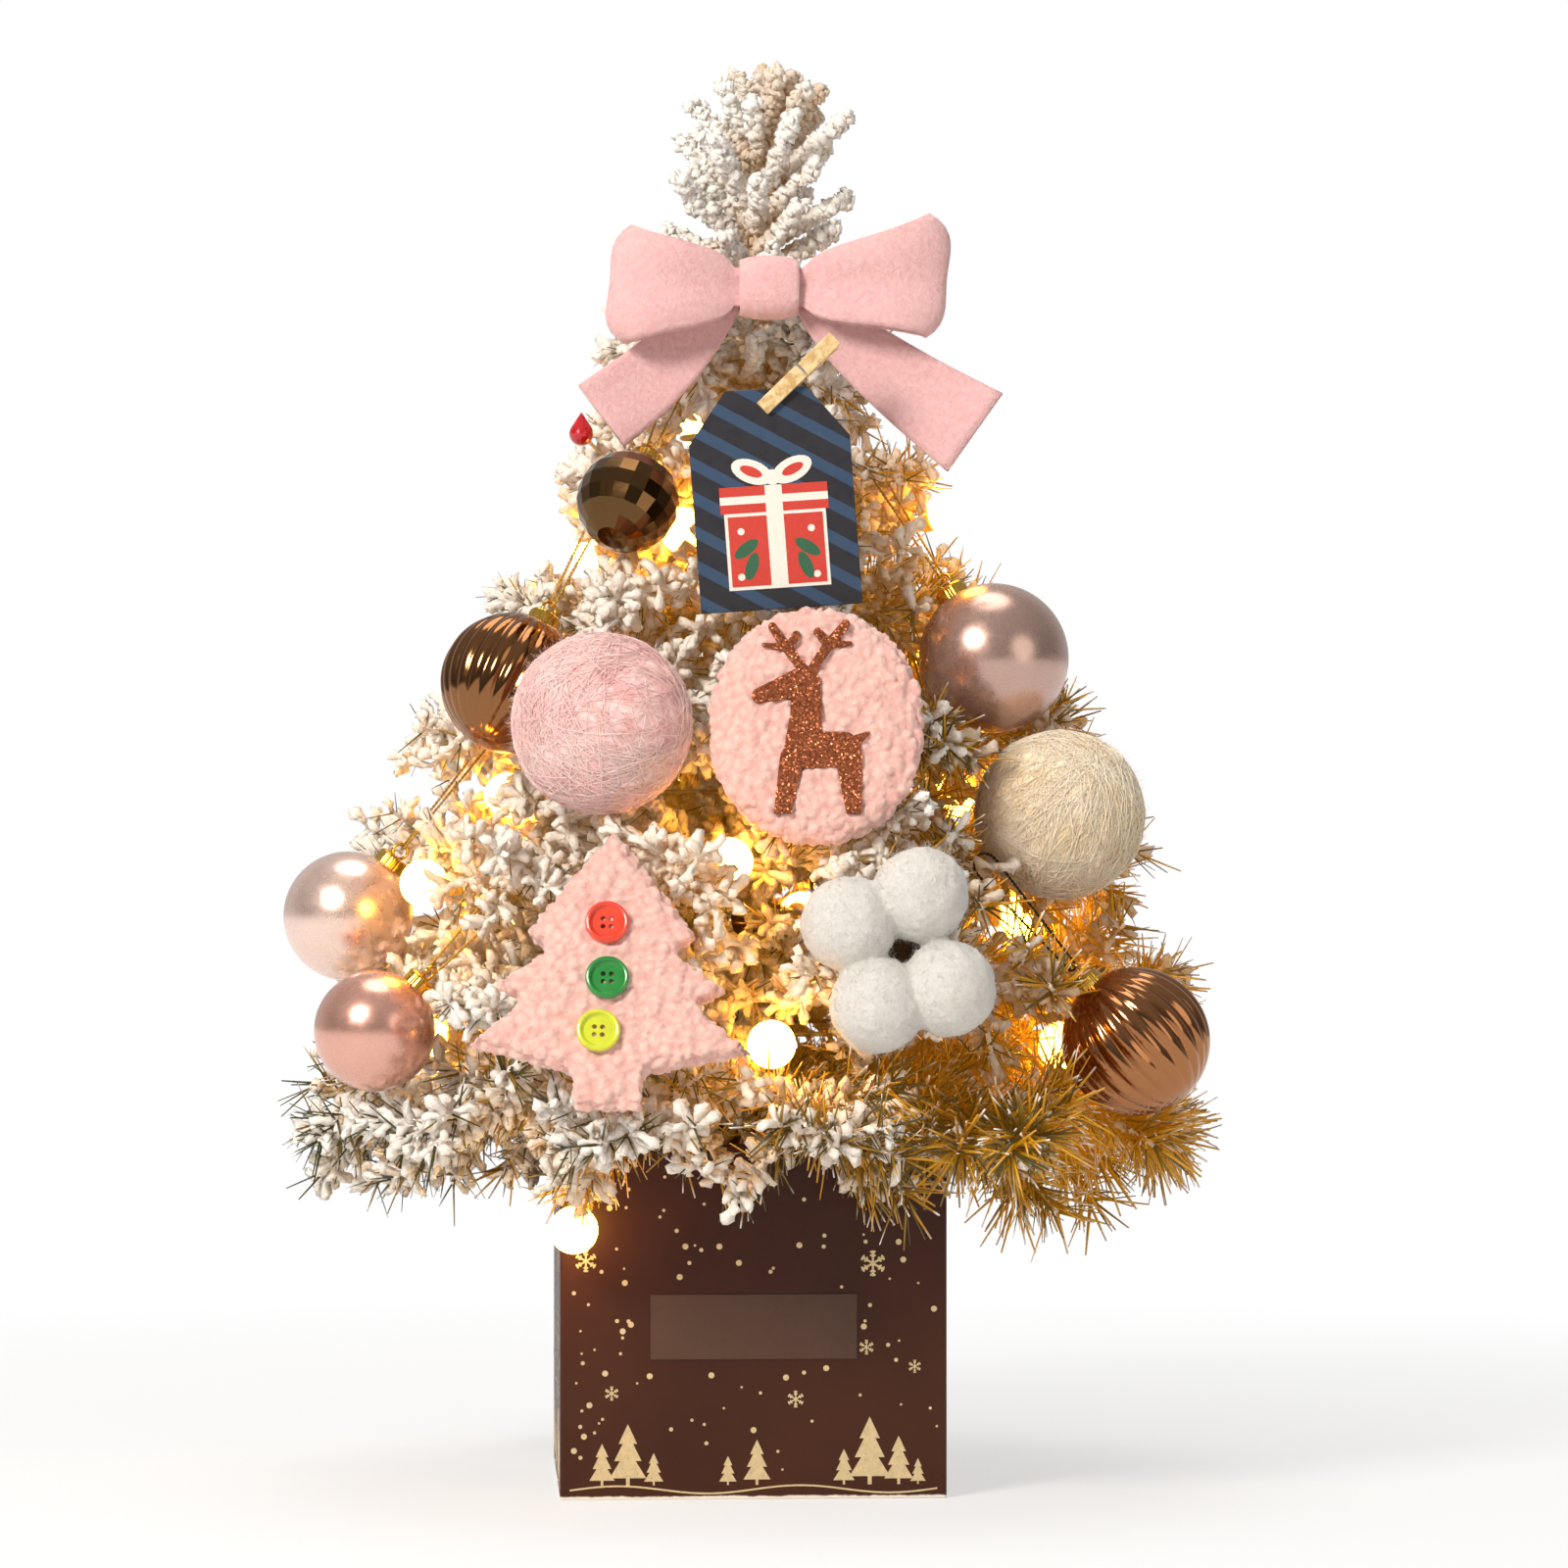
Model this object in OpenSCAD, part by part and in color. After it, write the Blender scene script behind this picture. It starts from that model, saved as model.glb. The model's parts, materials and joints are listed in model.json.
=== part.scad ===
// Flocked, lit tabletop tree with hung ornaments, standing in a square gift box.
// Millimetres. The origin is the middle of the box's underside, +Z is up and the front faces -Y.

/* [Box] */
// Width and depth of the gift box
box_w = 120; // [110:1:150]
// Height of the gift box
box_h = 110; // [106:1:140]
// Thickness of the box board
board_t = 1.6; // [1:0.1:2.4]
// Depth of the turned-in rim at the mouth of the box
rim_depth = 6; // [4:1:10]
// Height of the ballast block in the bottom of the box
ballast_h = 38; // [30:1:40]
// Width of the plain label panel on the front
panel_w = 64; // [40:1:90]
// Height of the plain label panel on the front
panel_h = 20; // [12:1:30]

/* [Tree] */
// Height of the tree above the box
tree_h = 340; // [320:1:420]
// Reach of the lowest branches from the trunk's axis
lower_reach = 138; // [128:1:170]
// Reach of the highest branches from the trunk's axis
upper_reach = 36; // [32:1:44]
// Radius of the trunk at the box
trunk_r = 5; // [4:0.1:6]
// Radius of a branch where it leaves the trunk
stem_r = 2.3; // [1.8:0.1:2.6]
// Radius of a branch at its tip
tip_r = 1.2; // [0.9:0.1:1.6]
// Length of a flocked needle
needle_len = 22; // [16:1:26]

/* [Lights] */
// Radius of a light's globe
globe_r = 7.4; // [6:0.1:8]
// Radius of the light string's wire
wire_r = 0.8; // [0.5:0.1:1]

/* [Ornaments] */
// Radius of the faceted bauble
faceted_r = 16; // [12:0.5:18]
// Radius of the ribbed bauble on the left
ribbed_left_r = 22; // [18:0.5:23]
// Radius of the ribbed bauble on the right
ribbed_right_r = 23; // [18:0.5:25]
// Radius of the pearl bauble on the right
pearl_right_r = 23.5; // [18:0.5:25]
// Radius of the pearl bauble on the left
pearl_left_r = 20.4; // [16:0.5:22]
// Radius of the satin bauble
satin_r = 18.6; // [15:0.1:21]
// Radius of the pink fibre ball
pink_ball_r = 27; // [20:0.5:28]
// Radius of the white fibre ball
white_ball_r = 26; // [20:0.5:27]
// Radius of a bauble's cord
cord_r = 0.45; // [0.35:0.05:0.6]
// Radius of the round plush pad
disc_r = 35.5; // [30:0.5:38]
// Thickness of the plush pads
pad_t = 11; // [8:0.5:14]
// Half width of the plush tree at its widest tier
plush_half_w = 43.5; // [36:0.5:46]
// Height of the plush tree with its trunk
plush_h = 89.5; // [80:0.5:95]
// Radius of a button
button_r = 6.5; // [5:0.1:8]
// Width of the card tag
tag_w = 49.5; // [40:0.5:54]
// Height of the card tag
tag_h = 68; // [56:0.5:72]
// Thickness of the card tag
tag_t = 0.8; // [0.5:0.1:1.2]
// Length of the clothes-peg
peg_len = 31; // [26:0.5:36]
// Thickness of the felt
felt_t = 2; // [1.4:0.1:2.6]

/* [Battery case] */
// Radius of a cell
cell_r = 7.1; // [6.9:0.1:7.3]
// Length of a cell without its nub
cell_len = 49; // [46:0.5:50]
// Wall thickness of the case
case_wall = 1.6; // [1.2:0.1:2]
// Thickness of the sliding cover
cover_t = 1.6; // [1.2:0.1:2]

/* [Hidden] */
$fn = 48;

// Clearances between pieces that lie against each other
fit = 0.2;
touch = 0.05;
eps = 0.01;

// Box filling
cavity_w = box_w - 2 * board_t;
ballast_top = board_t + ballast_h;
foam_top = box_h - rim_depth - fit;
trunk_foot = board_t + 8;
trunk_top = box_h + tree_h * 0.72;
trunk_top_r = trunk_r * 0.55;

// Battery case, upright behind the trunk in the foam block's pocket
bay_w = 4 * cell_r + 1;
bay_d = 2 * cell_r + 1;
bay_h = cell_len + 5;
switch_room = 5;
case_w = bay_w + 2 * case_wall;
case_front = trunk_r + 14;
case_back = case_front + case_wall + bay_d;
lip_t = 1.2;
cover_gap = 0.3;
case_rear = case_back + cover_t + 2 * cover_gap + lip_t;
case_foot = ballast_top + fit;
case_h = case_wall + bay_h + switch_room + 2 * case_wall;
cell_y = case_front + case_wall + bay_d / 2;

// Tiers of branches
tier_counts = [12, 11, 12, 9, 8, 6, 5];
tier_turns = [9, 26.2, 16, 31.7, 10, 30, 17.5];
tier_whorls = [2, 2, 2, 2, 1, 1, 1];
last_tier = len(tier_counts) - 1;
first_tier_z = box_h + 18;
last_tier_z = box_h + tree_h * 0.7;
lower_dip = -14;
upper_dip = 12;
stem_sides = 4;
needle_base = 3.2;
needle_tip_share = 0.6;
needle_lean = 40;
needle_gap = 2.5;
root_run = 9;

// The ornaments' places were set for this reach and height, and follow when these change
spread = lower_reach / 138;
rise = tree_h / 340;

function lerp(a, b, t) = a + (b - a) * t;
function unit(v) = v / norm(v);
function place(x, y, h) = [x * spread, y * spread, box_h + h * rise];
function polar(r, az, z) = [r * cos(az), r * sin(az), z];
function az_of(p) = atan2(p[1], p[0]);

// Distance of point p from the stretch between a and b
function off_line(p, a, b) =
    norm(b - a) < eps ? norm(p - a)
    : let (t = max(0, min(1, (p - a) * (b - a) / ((b - a) * (b - a))))) norm(p - lerp(a, b, t));

// Branch geometry
function tier_z(i) = lerp(first_tier_z, last_tier_z, i / last_tier);
function tier_reach(i) = lerp(lower_reach, upper_reach, i / last_tier);
function tier_dip(i) = lerp(lower_dip, upper_dip, i / last_tier);
function stem_z(i, r) = tier_z(i) + tier_dip(i) * pow(min(1, r / tier_reach(i)), 2);
function branch_az(i, j) = tier_turns[i] + j * 360 / tier_counts[i];
function branch_point(i, j, r) = polar(r, branch_az(i, j), stem_z(i, r));
function trunk_radius(z) = lerp(trunk_r, trunk_top_r, (z - box_h) / (trunk_top - box_h));
function root_radius(i) = trunk_radius(tier_z(i)) + 2 * touch;
// A branch leaves the trunk as a bare wire, thin enough to pass its neighbours
function root_wire(i) = min(1, 0.8 * root_radius(i) * sin(180 / tier_counts[i]));

// Ornament places
faceted_at = place(-39, -60, 199);
ribbed_left_at = place(-75, -50, 143);
ribbed_right_at = place(118, -68, 32);
pearl_right_at = place(76, -43, 151);
pearl_left_at = place(-126, -20, 70);
satin_at = place(-117, -75, 36);
pink_ball_at = place(-48, -99, 130);
white_ball_at = place(96, -52, 102);
disc_at = place(17, -104, 129);
plush_at = place(-46, -128, 55);
cotton_at = place(40, -131, 61);
tag_at = place(5, -84, 199);
knot_at = place(5, -52, 266);
berry_at = place(-53, -42, 221);

// Leans of the flat ornaments: tip-back from upright, then turn in their own plane
disc_lean = 12;
plush_lean = 20;
plush_turn = -2;
tag_lean = 5;
tag_turn = 4;

// Clothes-peg on the tag's top edge, and where a point of the peg's own frame comes to lie
peg_w = 4.8;
lever_t = 3;
peg_tilt = 40;
peg_pivot = 15;
peg_step = peg_pivot - 2;
jaw_gap = tag_t / 2 + touch;
function tipped(p, lean) = [p[0], p[1] * sin(lean) - p[2] * cos(lean), p[1] * cos(lean) + p[2] * sin(lean)];
function spun(p, a) = [p[0] * cos(a) - p[1] * sin(a), p[0] * sin(a) + p[1] * cos(a), p[2]];
function peg_point(p) =
    tag_at + tipped(spun([0, tag_h / 2 - 5, 0] + spun(p + [peg_step, 0, 0], peg_tilt), tag_turn), tag_lean);

// A bauble: its place, its radius, and the tier and branch that its cord hangs on
faceted = [faceted_at, faceted_r, 6, 3];
ribbed_left = [ribbed_left_at, ribbed_left_r, 5, 3];
ribbed_right = [ribbed_right_at, ribbed_right_r, 2, 10];
pearl_right = [pearl_right_at, pearl_right_r, 5, 5];
pearl_left = [pearl_left_at, pearl_left_r, 3, 4];
satin = [satin_at, satin_r, 2, 7];
baubles = [faceted, ribbed_left, ribbed_right, pearl_right, pearl_left, satin];
hook_inset = 5;
function hook(b) = branch_point(b[2], b[3], tier_reach(b[2]) - hook_inset);

// Depth of the bow's knot from front to back
knot_d = 7 + 4 * felt_t;

// Lights: the string winds through the gaps between the tiers, one turn to a gap
wind_share = 0.45;
socket_len = 9;
socket_r = 3.4;
function wind_r(g) = wind_share * (tier_reach(g) + tier_reach(g + 1)) / 2;
function gap_z(g, r) = (stem_z(g, r) + stem_z(g + 1, r)) / 2;
// Globes in view, each with the gap that its lead starts in
front_lights = [
    [place(-102, -66, 81), 1], [place(64, -25, 197), 4], [place(-21, -38, 191), 4],
    [place(-9, -91, 88), 1], [place(3, -110, 33), 0],
    [[-56 * spread, -box_w / 2 - 19, box_h - 25 * rise], 0]
];
// Globes round the sides and the back
back_light_turns = [[-15, 40, 120, 170], [5, 75, 150], [25, 105, 180], [12, 75, 145], [80, 165], [110]];
back_lights = [
    for (g = [0:len(back_light_turns) - 1], az = back_light_turns[g])
        let (r = wind_r(g) + lerp(44, 16, g / 5)) [polar(r, az, gap_z(g, r)), g]
];
lights = concat(front_lights, back_lights);
function lead_start(l) = polar(wind_r(l[1]), az_of(l[0]), gap_z(l[1], wind_r(l[1])));
function lead_dir(l) = unit(l[0] - lead_start(l));

// Leader sprig on top of the trunk
leader_base = [0, 0, trunk_top + 3 * touch];
leader_tip = [9 * spread, 0, box_h + tree_h * 0.965];
leader_whorls = 5;
leader_reach = 27;
function leader_point(t) = lerp(leader_base, leader_tip, t) - [6 * t * (1 - t), 0, 0];

// Solid ornaments that a branch stops short of, as [from, to, radius]
ornament_rooms = concat(
    [for (b = baubles) [b[0], b[0], b[1]]],
    [
        [pink_ball_at, pink_ball_at, pink_ball_r],
        [white_ball_at, white_ball_at, white_ball_r],
        [berry_at, berry_at, 6]
    ],
    [
        for (h = [-0.7, 0, 0.7])
            let (w = disc_r * sqrt(1 - h * h) - pad_t / 2, c = disc_at + [0, 0, h * disc_r])
                [c - [w, 0, 0], c + [w, 0, 0], pad_t / 2 + 4]
    ],
    [
        for (h = [-0.45, -0.25, 0, 0.25])
            let (w = plush_half_w * (0.6 - 0.9 * h) - 6, c = plush_at + [0, 0, h * plush_h])
                [c - [w, h * 24, 0], c + [w, -h * 24, 0], pad_t / 2 + 6]
    ],
    [[cotton_at - [8, 0, 8], cotton_at + [8, 0, 8], 26]],
    [for (w = [-0.4, 0, 0.4]) [tag_at + [w * tag_w, 4, -tag_h / 2], tag_at + [w * tag_w, 0, tag_h / 2], 8]],
    [[knot_at - [44, 0, 0], knot_at + [50, 0, 4], 19]],
    [[knot_at, knot_at + [-46, -2, -38], 13], [knot_at, knot_at + [60, -2, -44], 15]]
);

function blocked(p, rooms, margin) =
    len([for (m = rooms) if (off_line(p, m[0], m[1]) < m[2] + margin) 1]) > 0;

// How far a branch gets before an ornament is in its way
reach_step = 3;
stop_gap = 4;
function clear_reach(i, j, r = 20) =
    r + reach_step > tier_reach(i) ? tier_reach(i)
    : blocked(branch_point(i, j, r + reach_step), ornament_rooms, stop_gap) ? r
    : clear_reach(i, j, r + reach_step);
function branch_tip(i, j) = branch_point(i, j, clear_reach(i, j));

// Ties, each from a point on an ornament to a point on the branch that holds it
tie_r = 0.6;
function tie_to_tip(p, gap, i, j) =
    let (s = branch_tip(i, j), d = unit(s - p)) [p + d * gap, s - d * (tip_r * 0.5 + touch)];
function tie_to_side(p, gap, i, j) =
    let (
        s = branch_point(i, j, tier_reach(i) - 2 * hook_inset),
        d = unit(s - p),
        slant = norm(cross(d, polar(1, branch_az(i, j), 0)))
    )
        [p + d * gap, s - d * (tip_r * 1.6 + tie_r) / slant];
leader_hold = leader_point(0.12);
ties = [
    tie_to_tip(pink_ball_at, pink_ball_r + touch, 3, 5),
    tie_to_side(white_ball_at, white_ball_r + touch, 3, 8),
    tie_to_tip(disc_at + [0, pad_t / 2, 0], 2, 3, 6),
    tie_to_tip(plush_at + [0, pad_t / 2, 0], 2, 1, 7),
    tie_to_tip(cotton_at + [0, 12, 0], 1, 1, 8),
    tie_to_side(peg_point([-6, 0, -jaw_gap - lever_t]), 0, 5, 4),
    tie_to_side(berry_at, 4, 5, 3),
    [knot_at + [0, knot_d / 2 + 0.5, 0], leader_hold - [0, stem_r + tie_r, 0]]
];

// Everything that a needle is left out for: the ornaments, their cords, the lights and the ties
needle_rooms = concat(
    ornament_rooms,
    [for (b = baubles) [hook(b), b[0], 5]],
    [for (l = lights) [l[0], l[0], globe_r + 0.5]],
    [for (l = lights) [lead_start(l), l[0], socket_r + 0.3]],
    [for (t = ties) [t[0], t[1], 1.5]]
);

// A ring of n points round centre c, spread over the plane of u and v
function ring(c, u, v, r, n) =
    [for (k = [0:n - 1]) c + r * (cos(k * 360 / n) * u + sin(k * 360 / n) * v)];

// Triangles of a run of rings with n points each, closed by a fan at both ends
function wall_faces(rings, n) = [
    for (i = [0:rings - 2], k = [0:n - 1])
        let (a = i * n + k, b = i * n + (k + 1) % n, c = b + n, d = a + n)
            each [[a, d, c], [a, c, b]]
];
// Faces of a ball made of rings between two poles
function ball_faces(rows, n) =
    let (north = 1 + (rows - 1) * n)
        concat(
            [for (k = [0:n - 1]) [0, 1 + k, 1 + (k + 1) % n]],
            [for (f = wall_faces(rows - 1, n)) [f[0] + 1, f[1] + 1, f[2] + 1]],
            [for (k = [0:n - 1]) [north, north - n + (k + 1) % n, north - n + k]]
        );
function end_faces(rings, n) = [
    for (k = [1:n - 2]) each [[0, k, k + 1], [(rings - 1) * n, (rings - 1) * n + k + 1, (rings - 1) * n + k]]
];

// Tangent of a path, and a side direction that is carried along it without twisting
function tangent(path, i) = unit(path[min(len(path) - 1, i + 1)] - path[max(0, i - 1)]);
function square_to(v, t) = unit(v - (v * t) * t);
function sides_along(path, first) = [
    for (i = 0, s = square_to(first, tangent(path, 0)); i < len(path);
        i = i + 1, s = square_to(s, tangent(path, i < len(path) ? i : i - 1))) s
];

// A tube of n sides along an open path
module tube(path, r, n, first) {
    s = sides_along(path, first);
    points = [for (i = [0:len(path) - 1]) each ring(path[i], s[i], cross(tangent(path, i), s[i]), r, n)];
    polyhedron(points, concat(wall_faces(len(path), n), end_faces(len(path), n)), convexity = 10);
}

// Least gap that a tube along this path leaves to itself, past its own neighbouring rings
function least_gap(path, r, skip) =
    min([for (i = [0:len(path) - 1 - skip], j = [i + skip:len(path) - 1]) norm(path[i] - path[j])]) - 2 * r;

// A stem along a path with strands that grow out of its own faces.
// A strand is [segment, side, reach vector], four-sided and blunt.
module bristled(path, radii, side, strands) {
    n = stem_sides;
    last = len(path) - 1;
    frames = [for (i = [0:last]) let (t = tangent(path, i), u = square_to(side, t)) [u, cross(t, u)]];
    stem = [for (i = [0:last]) each ring(path[i], frames[i][0], frames[i][1], radii[i], n)];
    function corners(s) = let (a = s[0] * n + s[1], b = s[0] * n + (s[1] + 1) % n) [a, b, b + n, a + n];
    tips = [
        for (s = strands) let (q = corners(s), m = (stem[q[0]] + stem[q[1]] + stem[q[2]] + stem[q[3]]) / 4)
            for (k = q) m + s[2] + needle_tip_share * (stem[k] - m)
    ];
    function bare(i, k) = len([for (s = strands) if (s[0] == i && s[1] == k) 1]) == 0;
    plain = [
        for (i = [0:last - 1], k = [0:n - 1]) if (bare(i, k))
            let (q = corners([i, k])) each [[q[0], q[3], q[2]], [q[0], q[2], q[1]]]
    ];
    grown = [
        for (m = [0:1:len(strands) - 1]) let (q = corners(strands[m]), f = len(stem) + 4 * m)
            each concat(
                [
                    for (k = [0:3])
                        let (n1 = (k + 1) % 4) each [[q[k], f + k, f + n1], [q[k], f + n1, q[n1]]]
                ],
                [[f, f + 3, f + 2], [f, f + 2, f + 1]]
            )
    ];
    polyhedron(concat(stem, tips), concat(plain, grown, end_faces(last + 1, n)), convexity = 10);
}

// Room for needles beside and above or below a branch, up to half way to its neighbours
function side_room(i, r) = r * sin(180 / tier_counts[i]) - needle_gap;
function rise_room(i, r) = i == last_tier ? needle_len : (stem_z(i + 1, r) - stem_z(i, r)) / 2 - needle_gap;
function fall_room(i, r) = i == 0 ? needle_len : (stem_z(i, r) - stem_z(i - 1, r)) / 2 - needle_gap;

// One branch of tier i: a tapered stem with whorls of four needles
module branch(i, j) {
    az = branch_az(i, j);
    root = root_radius(i);
    reach = clear_reach(i, j);
    whorls = tier_whorls[i];
    whorl_at = [for (k = [0:whorls - 1]) lerp(root, reach, lerp(0.5, 1, (k + 0.7) / whorls)) - needle_base];
    stops = concat([root, root + root_run], [for (r = whorl_at) each [r, r + needle_base]], [reach]);
    path = [for (r = stops) polar(r, az, stem_z(i, r))];
    radii = [for (r = stops) r == root ? root_wire(i) : lerp(stem_r, tip_r, (r - root) / (reach - root))];
    side = [-sin(az), cos(az), 0];
    strands = [
        for (k = [0:whorls - 1], face = [0:stem_sides - 1])
            let (
                turn = (face + 0.5) * 360 / stem_sides,
                r = whorl_at[k],
                across = cos(needle_lean) * cos(turn),
                up = cos(needle_lean) * sin(turn),
                room = min(
                    needle_len,
                    side_room(i, r) / max(eps, abs(across)),
                    (up > 0 ? rise_room(i, r) : fall_room(i, r)) / max(eps, abs(up))
                ),
                v = room * (across * side + up * [0, 0, 1] + sin(needle_lean) * [cos(az), sin(az), 0]),
                base = branch_point(i, j, r + needle_base / 2),
                hits = [for (t = [0.35:0.13:1]) if (blocked(base + t * v, needle_rooms, needle_gap)) 1]
            )
                if (len(hits) == 0) [2 + 2 * k, face, v]
    ];
    bristled(path, radii, side, strands);
}

module tier(i) {
    color("#e9e4d6")
        for (j = [0:tier_counts[i] - 1])
            branch(i, j);
}

// Puts children at place p with their own +Z facing the viewer and +Y up, tipped back and turned
module facing_front(p, lean, turn) {
    translate(p)
        rotate([90 - lean, 0, 0])
            rotate([0, 0, turn])
                children();
}

// Puts children under the hook of bauble b, with +Z up its cord and X across its loop
module hung(b) {
    up = unit(hook(b) - b[0]);
    stem = branch_point(b[2], b[3], tier_reach(b[2])) - hook(b);
    x = unit(cross(stem, up));
    y = cross(up, x);
    c = hook(b);
    multmatrix([[x[0], y[0], up[0], c[0]], [x[1], y[1], up[1], c[1]], [x[2], y[2], up[2], c[2]]])
        children();
}
function hang_len(b) = norm(hook(b) - b[0]);

// Cap of a bauble: fluted collar, crown and a ring for the cord
cap_r = 5.2;
cap_h = 5;
flute_count = 18;
flute_depth = 0.45;
eye_r = 2.4;
eye_wire = 0.55;
function cap_top(b) = -hang_len(b) + b[1] + cap_h - 1.4;
module fluted_outline() {
    polygon([
        for (k = [0:2 * flute_count - 1])
            let (a = k * 180 / flute_count, r = cap_r - (k % 2) * flute_depth)
                r * [cos(a), sin(a)]
    ]);
}
module bauble_cap(b) {
    crown_r = cap_r - 2 * flute_depth;
    color("#d9a94e")
        hung(b)
            difference() {
                union() {
                    translate([0, 0, cap_top(b) - cap_h])
                        linear_extrude(height = cap_h - 1)
                            fluted_outline();
                    translate([0, 0, cap_top(b) - 1 - eps])
                        cylinder(h = 1 + eps, r1 = crown_r, r2 = crown_r - 1);
                    translate([0, 0, cap_top(b) + eye_r - 0.3])
                        rotate([0, 90, 0])
                            rotate_extrude($fn = 32)
                                translate([eye_r, 0])
                                    circle(r = eye_wire, $fn = 16);
                }
                translate([0, 0, -hang_len(b)])
                    sphere(r = b[1] + touch, $fn = 64);
            }
}

// Cord loop between a branch and the cap's ring, one closed tube
loop_top_r = 4.6;
loop_foot_r = 1.7;
loop_sides = 6;
module cord_loop(b, tint) {
    top_z = -(loop_top_r - cord_r - 2 * tip_r - 0.9);
    foot_z = cap_top(b) + 2 * eye_r - 0.3;
    span = top_z - foot_z;
    swing = asin((loop_top_r - loop_foot_r) / span);
    top_arc = [for (k = [0:13]) lerp(-swing, 180 + swing, k / 13)];
    foot_arc = [for (k = [0:9]) lerp(180 + swing, 360 - swing, k / 9)];
    stations = concat(
        [for (a = top_arc) [a, top_z, loop_top_r]],
        [for (a = foot_arc) [a, foot_z, loop_foot_r]]
    );
    points = [
        for (s = stations)
            let (out = [cos(s[0]), 0, sin(s[0])])
                each ring([0, 0, s[1]] + s[2] * out, out, [0, 1, 0], cord_r, loop_sides)
    ];
    count = len(stations);
    faces = [
        for (i = [0:count - 1], k = [0:loop_sides - 1])
            let (
                a = i * loop_sides + k,
                b1 = i * loop_sides + (k + 1) % loop_sides,
                c = ((i + 1) % count) * loop_sides + (k + 1) % loop_sides,
                d = ((i + 1) % count) * loop_sides + k
            )
                each [[a, c, d], [a, b1, c]]
    ];
    color(tint)
        hung(b)
            polyhedron(points, faces, convexity = 6);
}

module plain_ball(b, tint) {
    color(tint)
        translate(b[0])
            sphere(r = b[1], $fn = 64);
}

// Ball with rounded ribs from pole to pole and a sharp groove between each two
rib_count = 24;
rib_steps = 4;
rib_rows = 12;
rib_depth = 0.055;
module ribbed_ball(b, tint) {
    n = rib_count * rib_steps;
    function spoke(row, k) =
        let (
            el = lerp(-90, 90, row / rib_rows),
            az = k * 360 / n,
            r = b[1] * (1 - rib_depth * (1 - abs(cos(az * rib_count / 2))) * cos(el))
        )
            r * [cos(el) * cos(az), cos(el) * sin(az), sin(el)];
    points = concat(
        [[0, 0, -b[1]]],
        [for (row = [1:rib_rows - 1], k = [0:n - 1]) spoke(row, k)],
        [[0, 0, b[1]]]
    );
    color(tint)
        hung(b)
            translate([0, 0, -hang_len(b)])
                polyhedron(points, ball_faces(rib_rows, n), convexity = 4);
}

// Ball cut all over with flat facets
facet_count = 20;
facet_rows = 10;
module faceted_ball() {
    function corner(row, k) =
        let (el = lerp(-90, 90, row / facet_rows), az = k * 360 / facet_count)
            faceted_r * [cos(el) * cos(az), cos(el) * sin(az), sin(el)];
    points = concat(
        [[0, 0, -faceted_r]],
        [for (row = [1:facet_rows - 1], k = [0:facet_count - 1]) corner(row, k)],
        [[0, 0, faceted_r]]
    );
    color("#4a2f16")
        hung(faceted)
            translate([0, 0, -hang_len(faceted)])
                polyhedron(points, ball_faces(facet_rows, facet_count), convexity = 2);
}

// Gift box and its filling

module gift_box() {
    color("#3a1e14")
        translate([0, 0, box_h / 2])
            difference() {
                cube([box_w, box_w, box_h], center = true);
                translate([0, 0, board_t - rim_depth / 2])
                    cube([cavity_w, cavity_w, box_h - rim_depth], center = true);
                translate([0, 0, box_h / 2])
                    cube([cavity_w - 2 * board_t, cavity_w - 2 * board_t, 4 * rim_depth], center = true);
            }
}

module front_panel() {
    panel_t = 0.5;
    color("#55341f")
        translate([-panel_w / 2, -box_w / 2 - panel_t, box_h / 2 - panel_h / 2 - 1.5])
            cube([panel_w, panel_t, panel_h]);
}

module ballast_block() {
    size = cavity_w - 2 * fit;
    color("#a7a49c")
        difference() {
            translate([-size / 2, -size / 2, board_t])
                cube([size, size, ballast_h]);
            translate([0, 0, trunk_foot - touch])
                cylinder(h = ballast_top, r = trunk_r + touch);
        }
}

module foam_block() {
    size = cavity_w - 2 * fit;
    color("#5c6a45")
        difference() {
            translate([-size / 2, -size / 2, ballast_top])
                cube([size, size, foam_top - ballast_top]);
            cylinder(h = 2 * box_h, r = trunk_r + touch);
            translate([-case_w / 2 - fit, case_front - fit, 0])
                cube([case_w + 2 * fit, case_rear - case_front + 2 * fit, 2 * box_h]);
        }
}

module trunk() {
    color("#6b4a2c") {
        translate([0, 0, trunk_foot])
            cylinder(h = box_h - trunk_foot, r = trunk_r);
        translate([0, 0, box_h])
            cylinder(h = trunk_top - box_h, r1 = trunk_r, r2 = trunk_top_r);
    }
}

// Leader sprig: an upright stem with whorls of four needles
module leader_sprig() {
    whorl_t = [for (k = [0:leader_whorls - 1]) lerp(0.24, 0.9, k / (leader_whorls - 1))];
    half = needle_base / 2 / norm(leader_tip - leader_base);
    stops = concat([0], [for (t = whorl_t) each [t - half, t + half]], [1]);
    path = [for (t = stops) leader_point(t)];
    radii = [for (t = stops) lerp(stem_r, tip_r * 1.3, t)];
    strands = [
        for (k = [0:leader_whorls - 1], face = [0:stem_sides - 1])
            let (
                turn = (face + 0.5) * 360 / stem_sides,
                lean = lerp(26, 56, k / (leader_whorls - 1)),
                v = leader_reach * [cos(lean) * cos(turn), cos(lean) * sin(turn), sin(lean)],
                base = leader_point(whorl_t[k]),
                hits = [for (t = [0.4, 0.7, 1]) if (blocked(base + t * v, needle_rooms, needle_gap)) 1]
            )
                if (len(hits) == 0) [1 + 2 * k, face, v]
    ];
    color("#efeadf")
        bristled(path, radii, [1, 0, 0], strands);
}

// Light string

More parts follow.
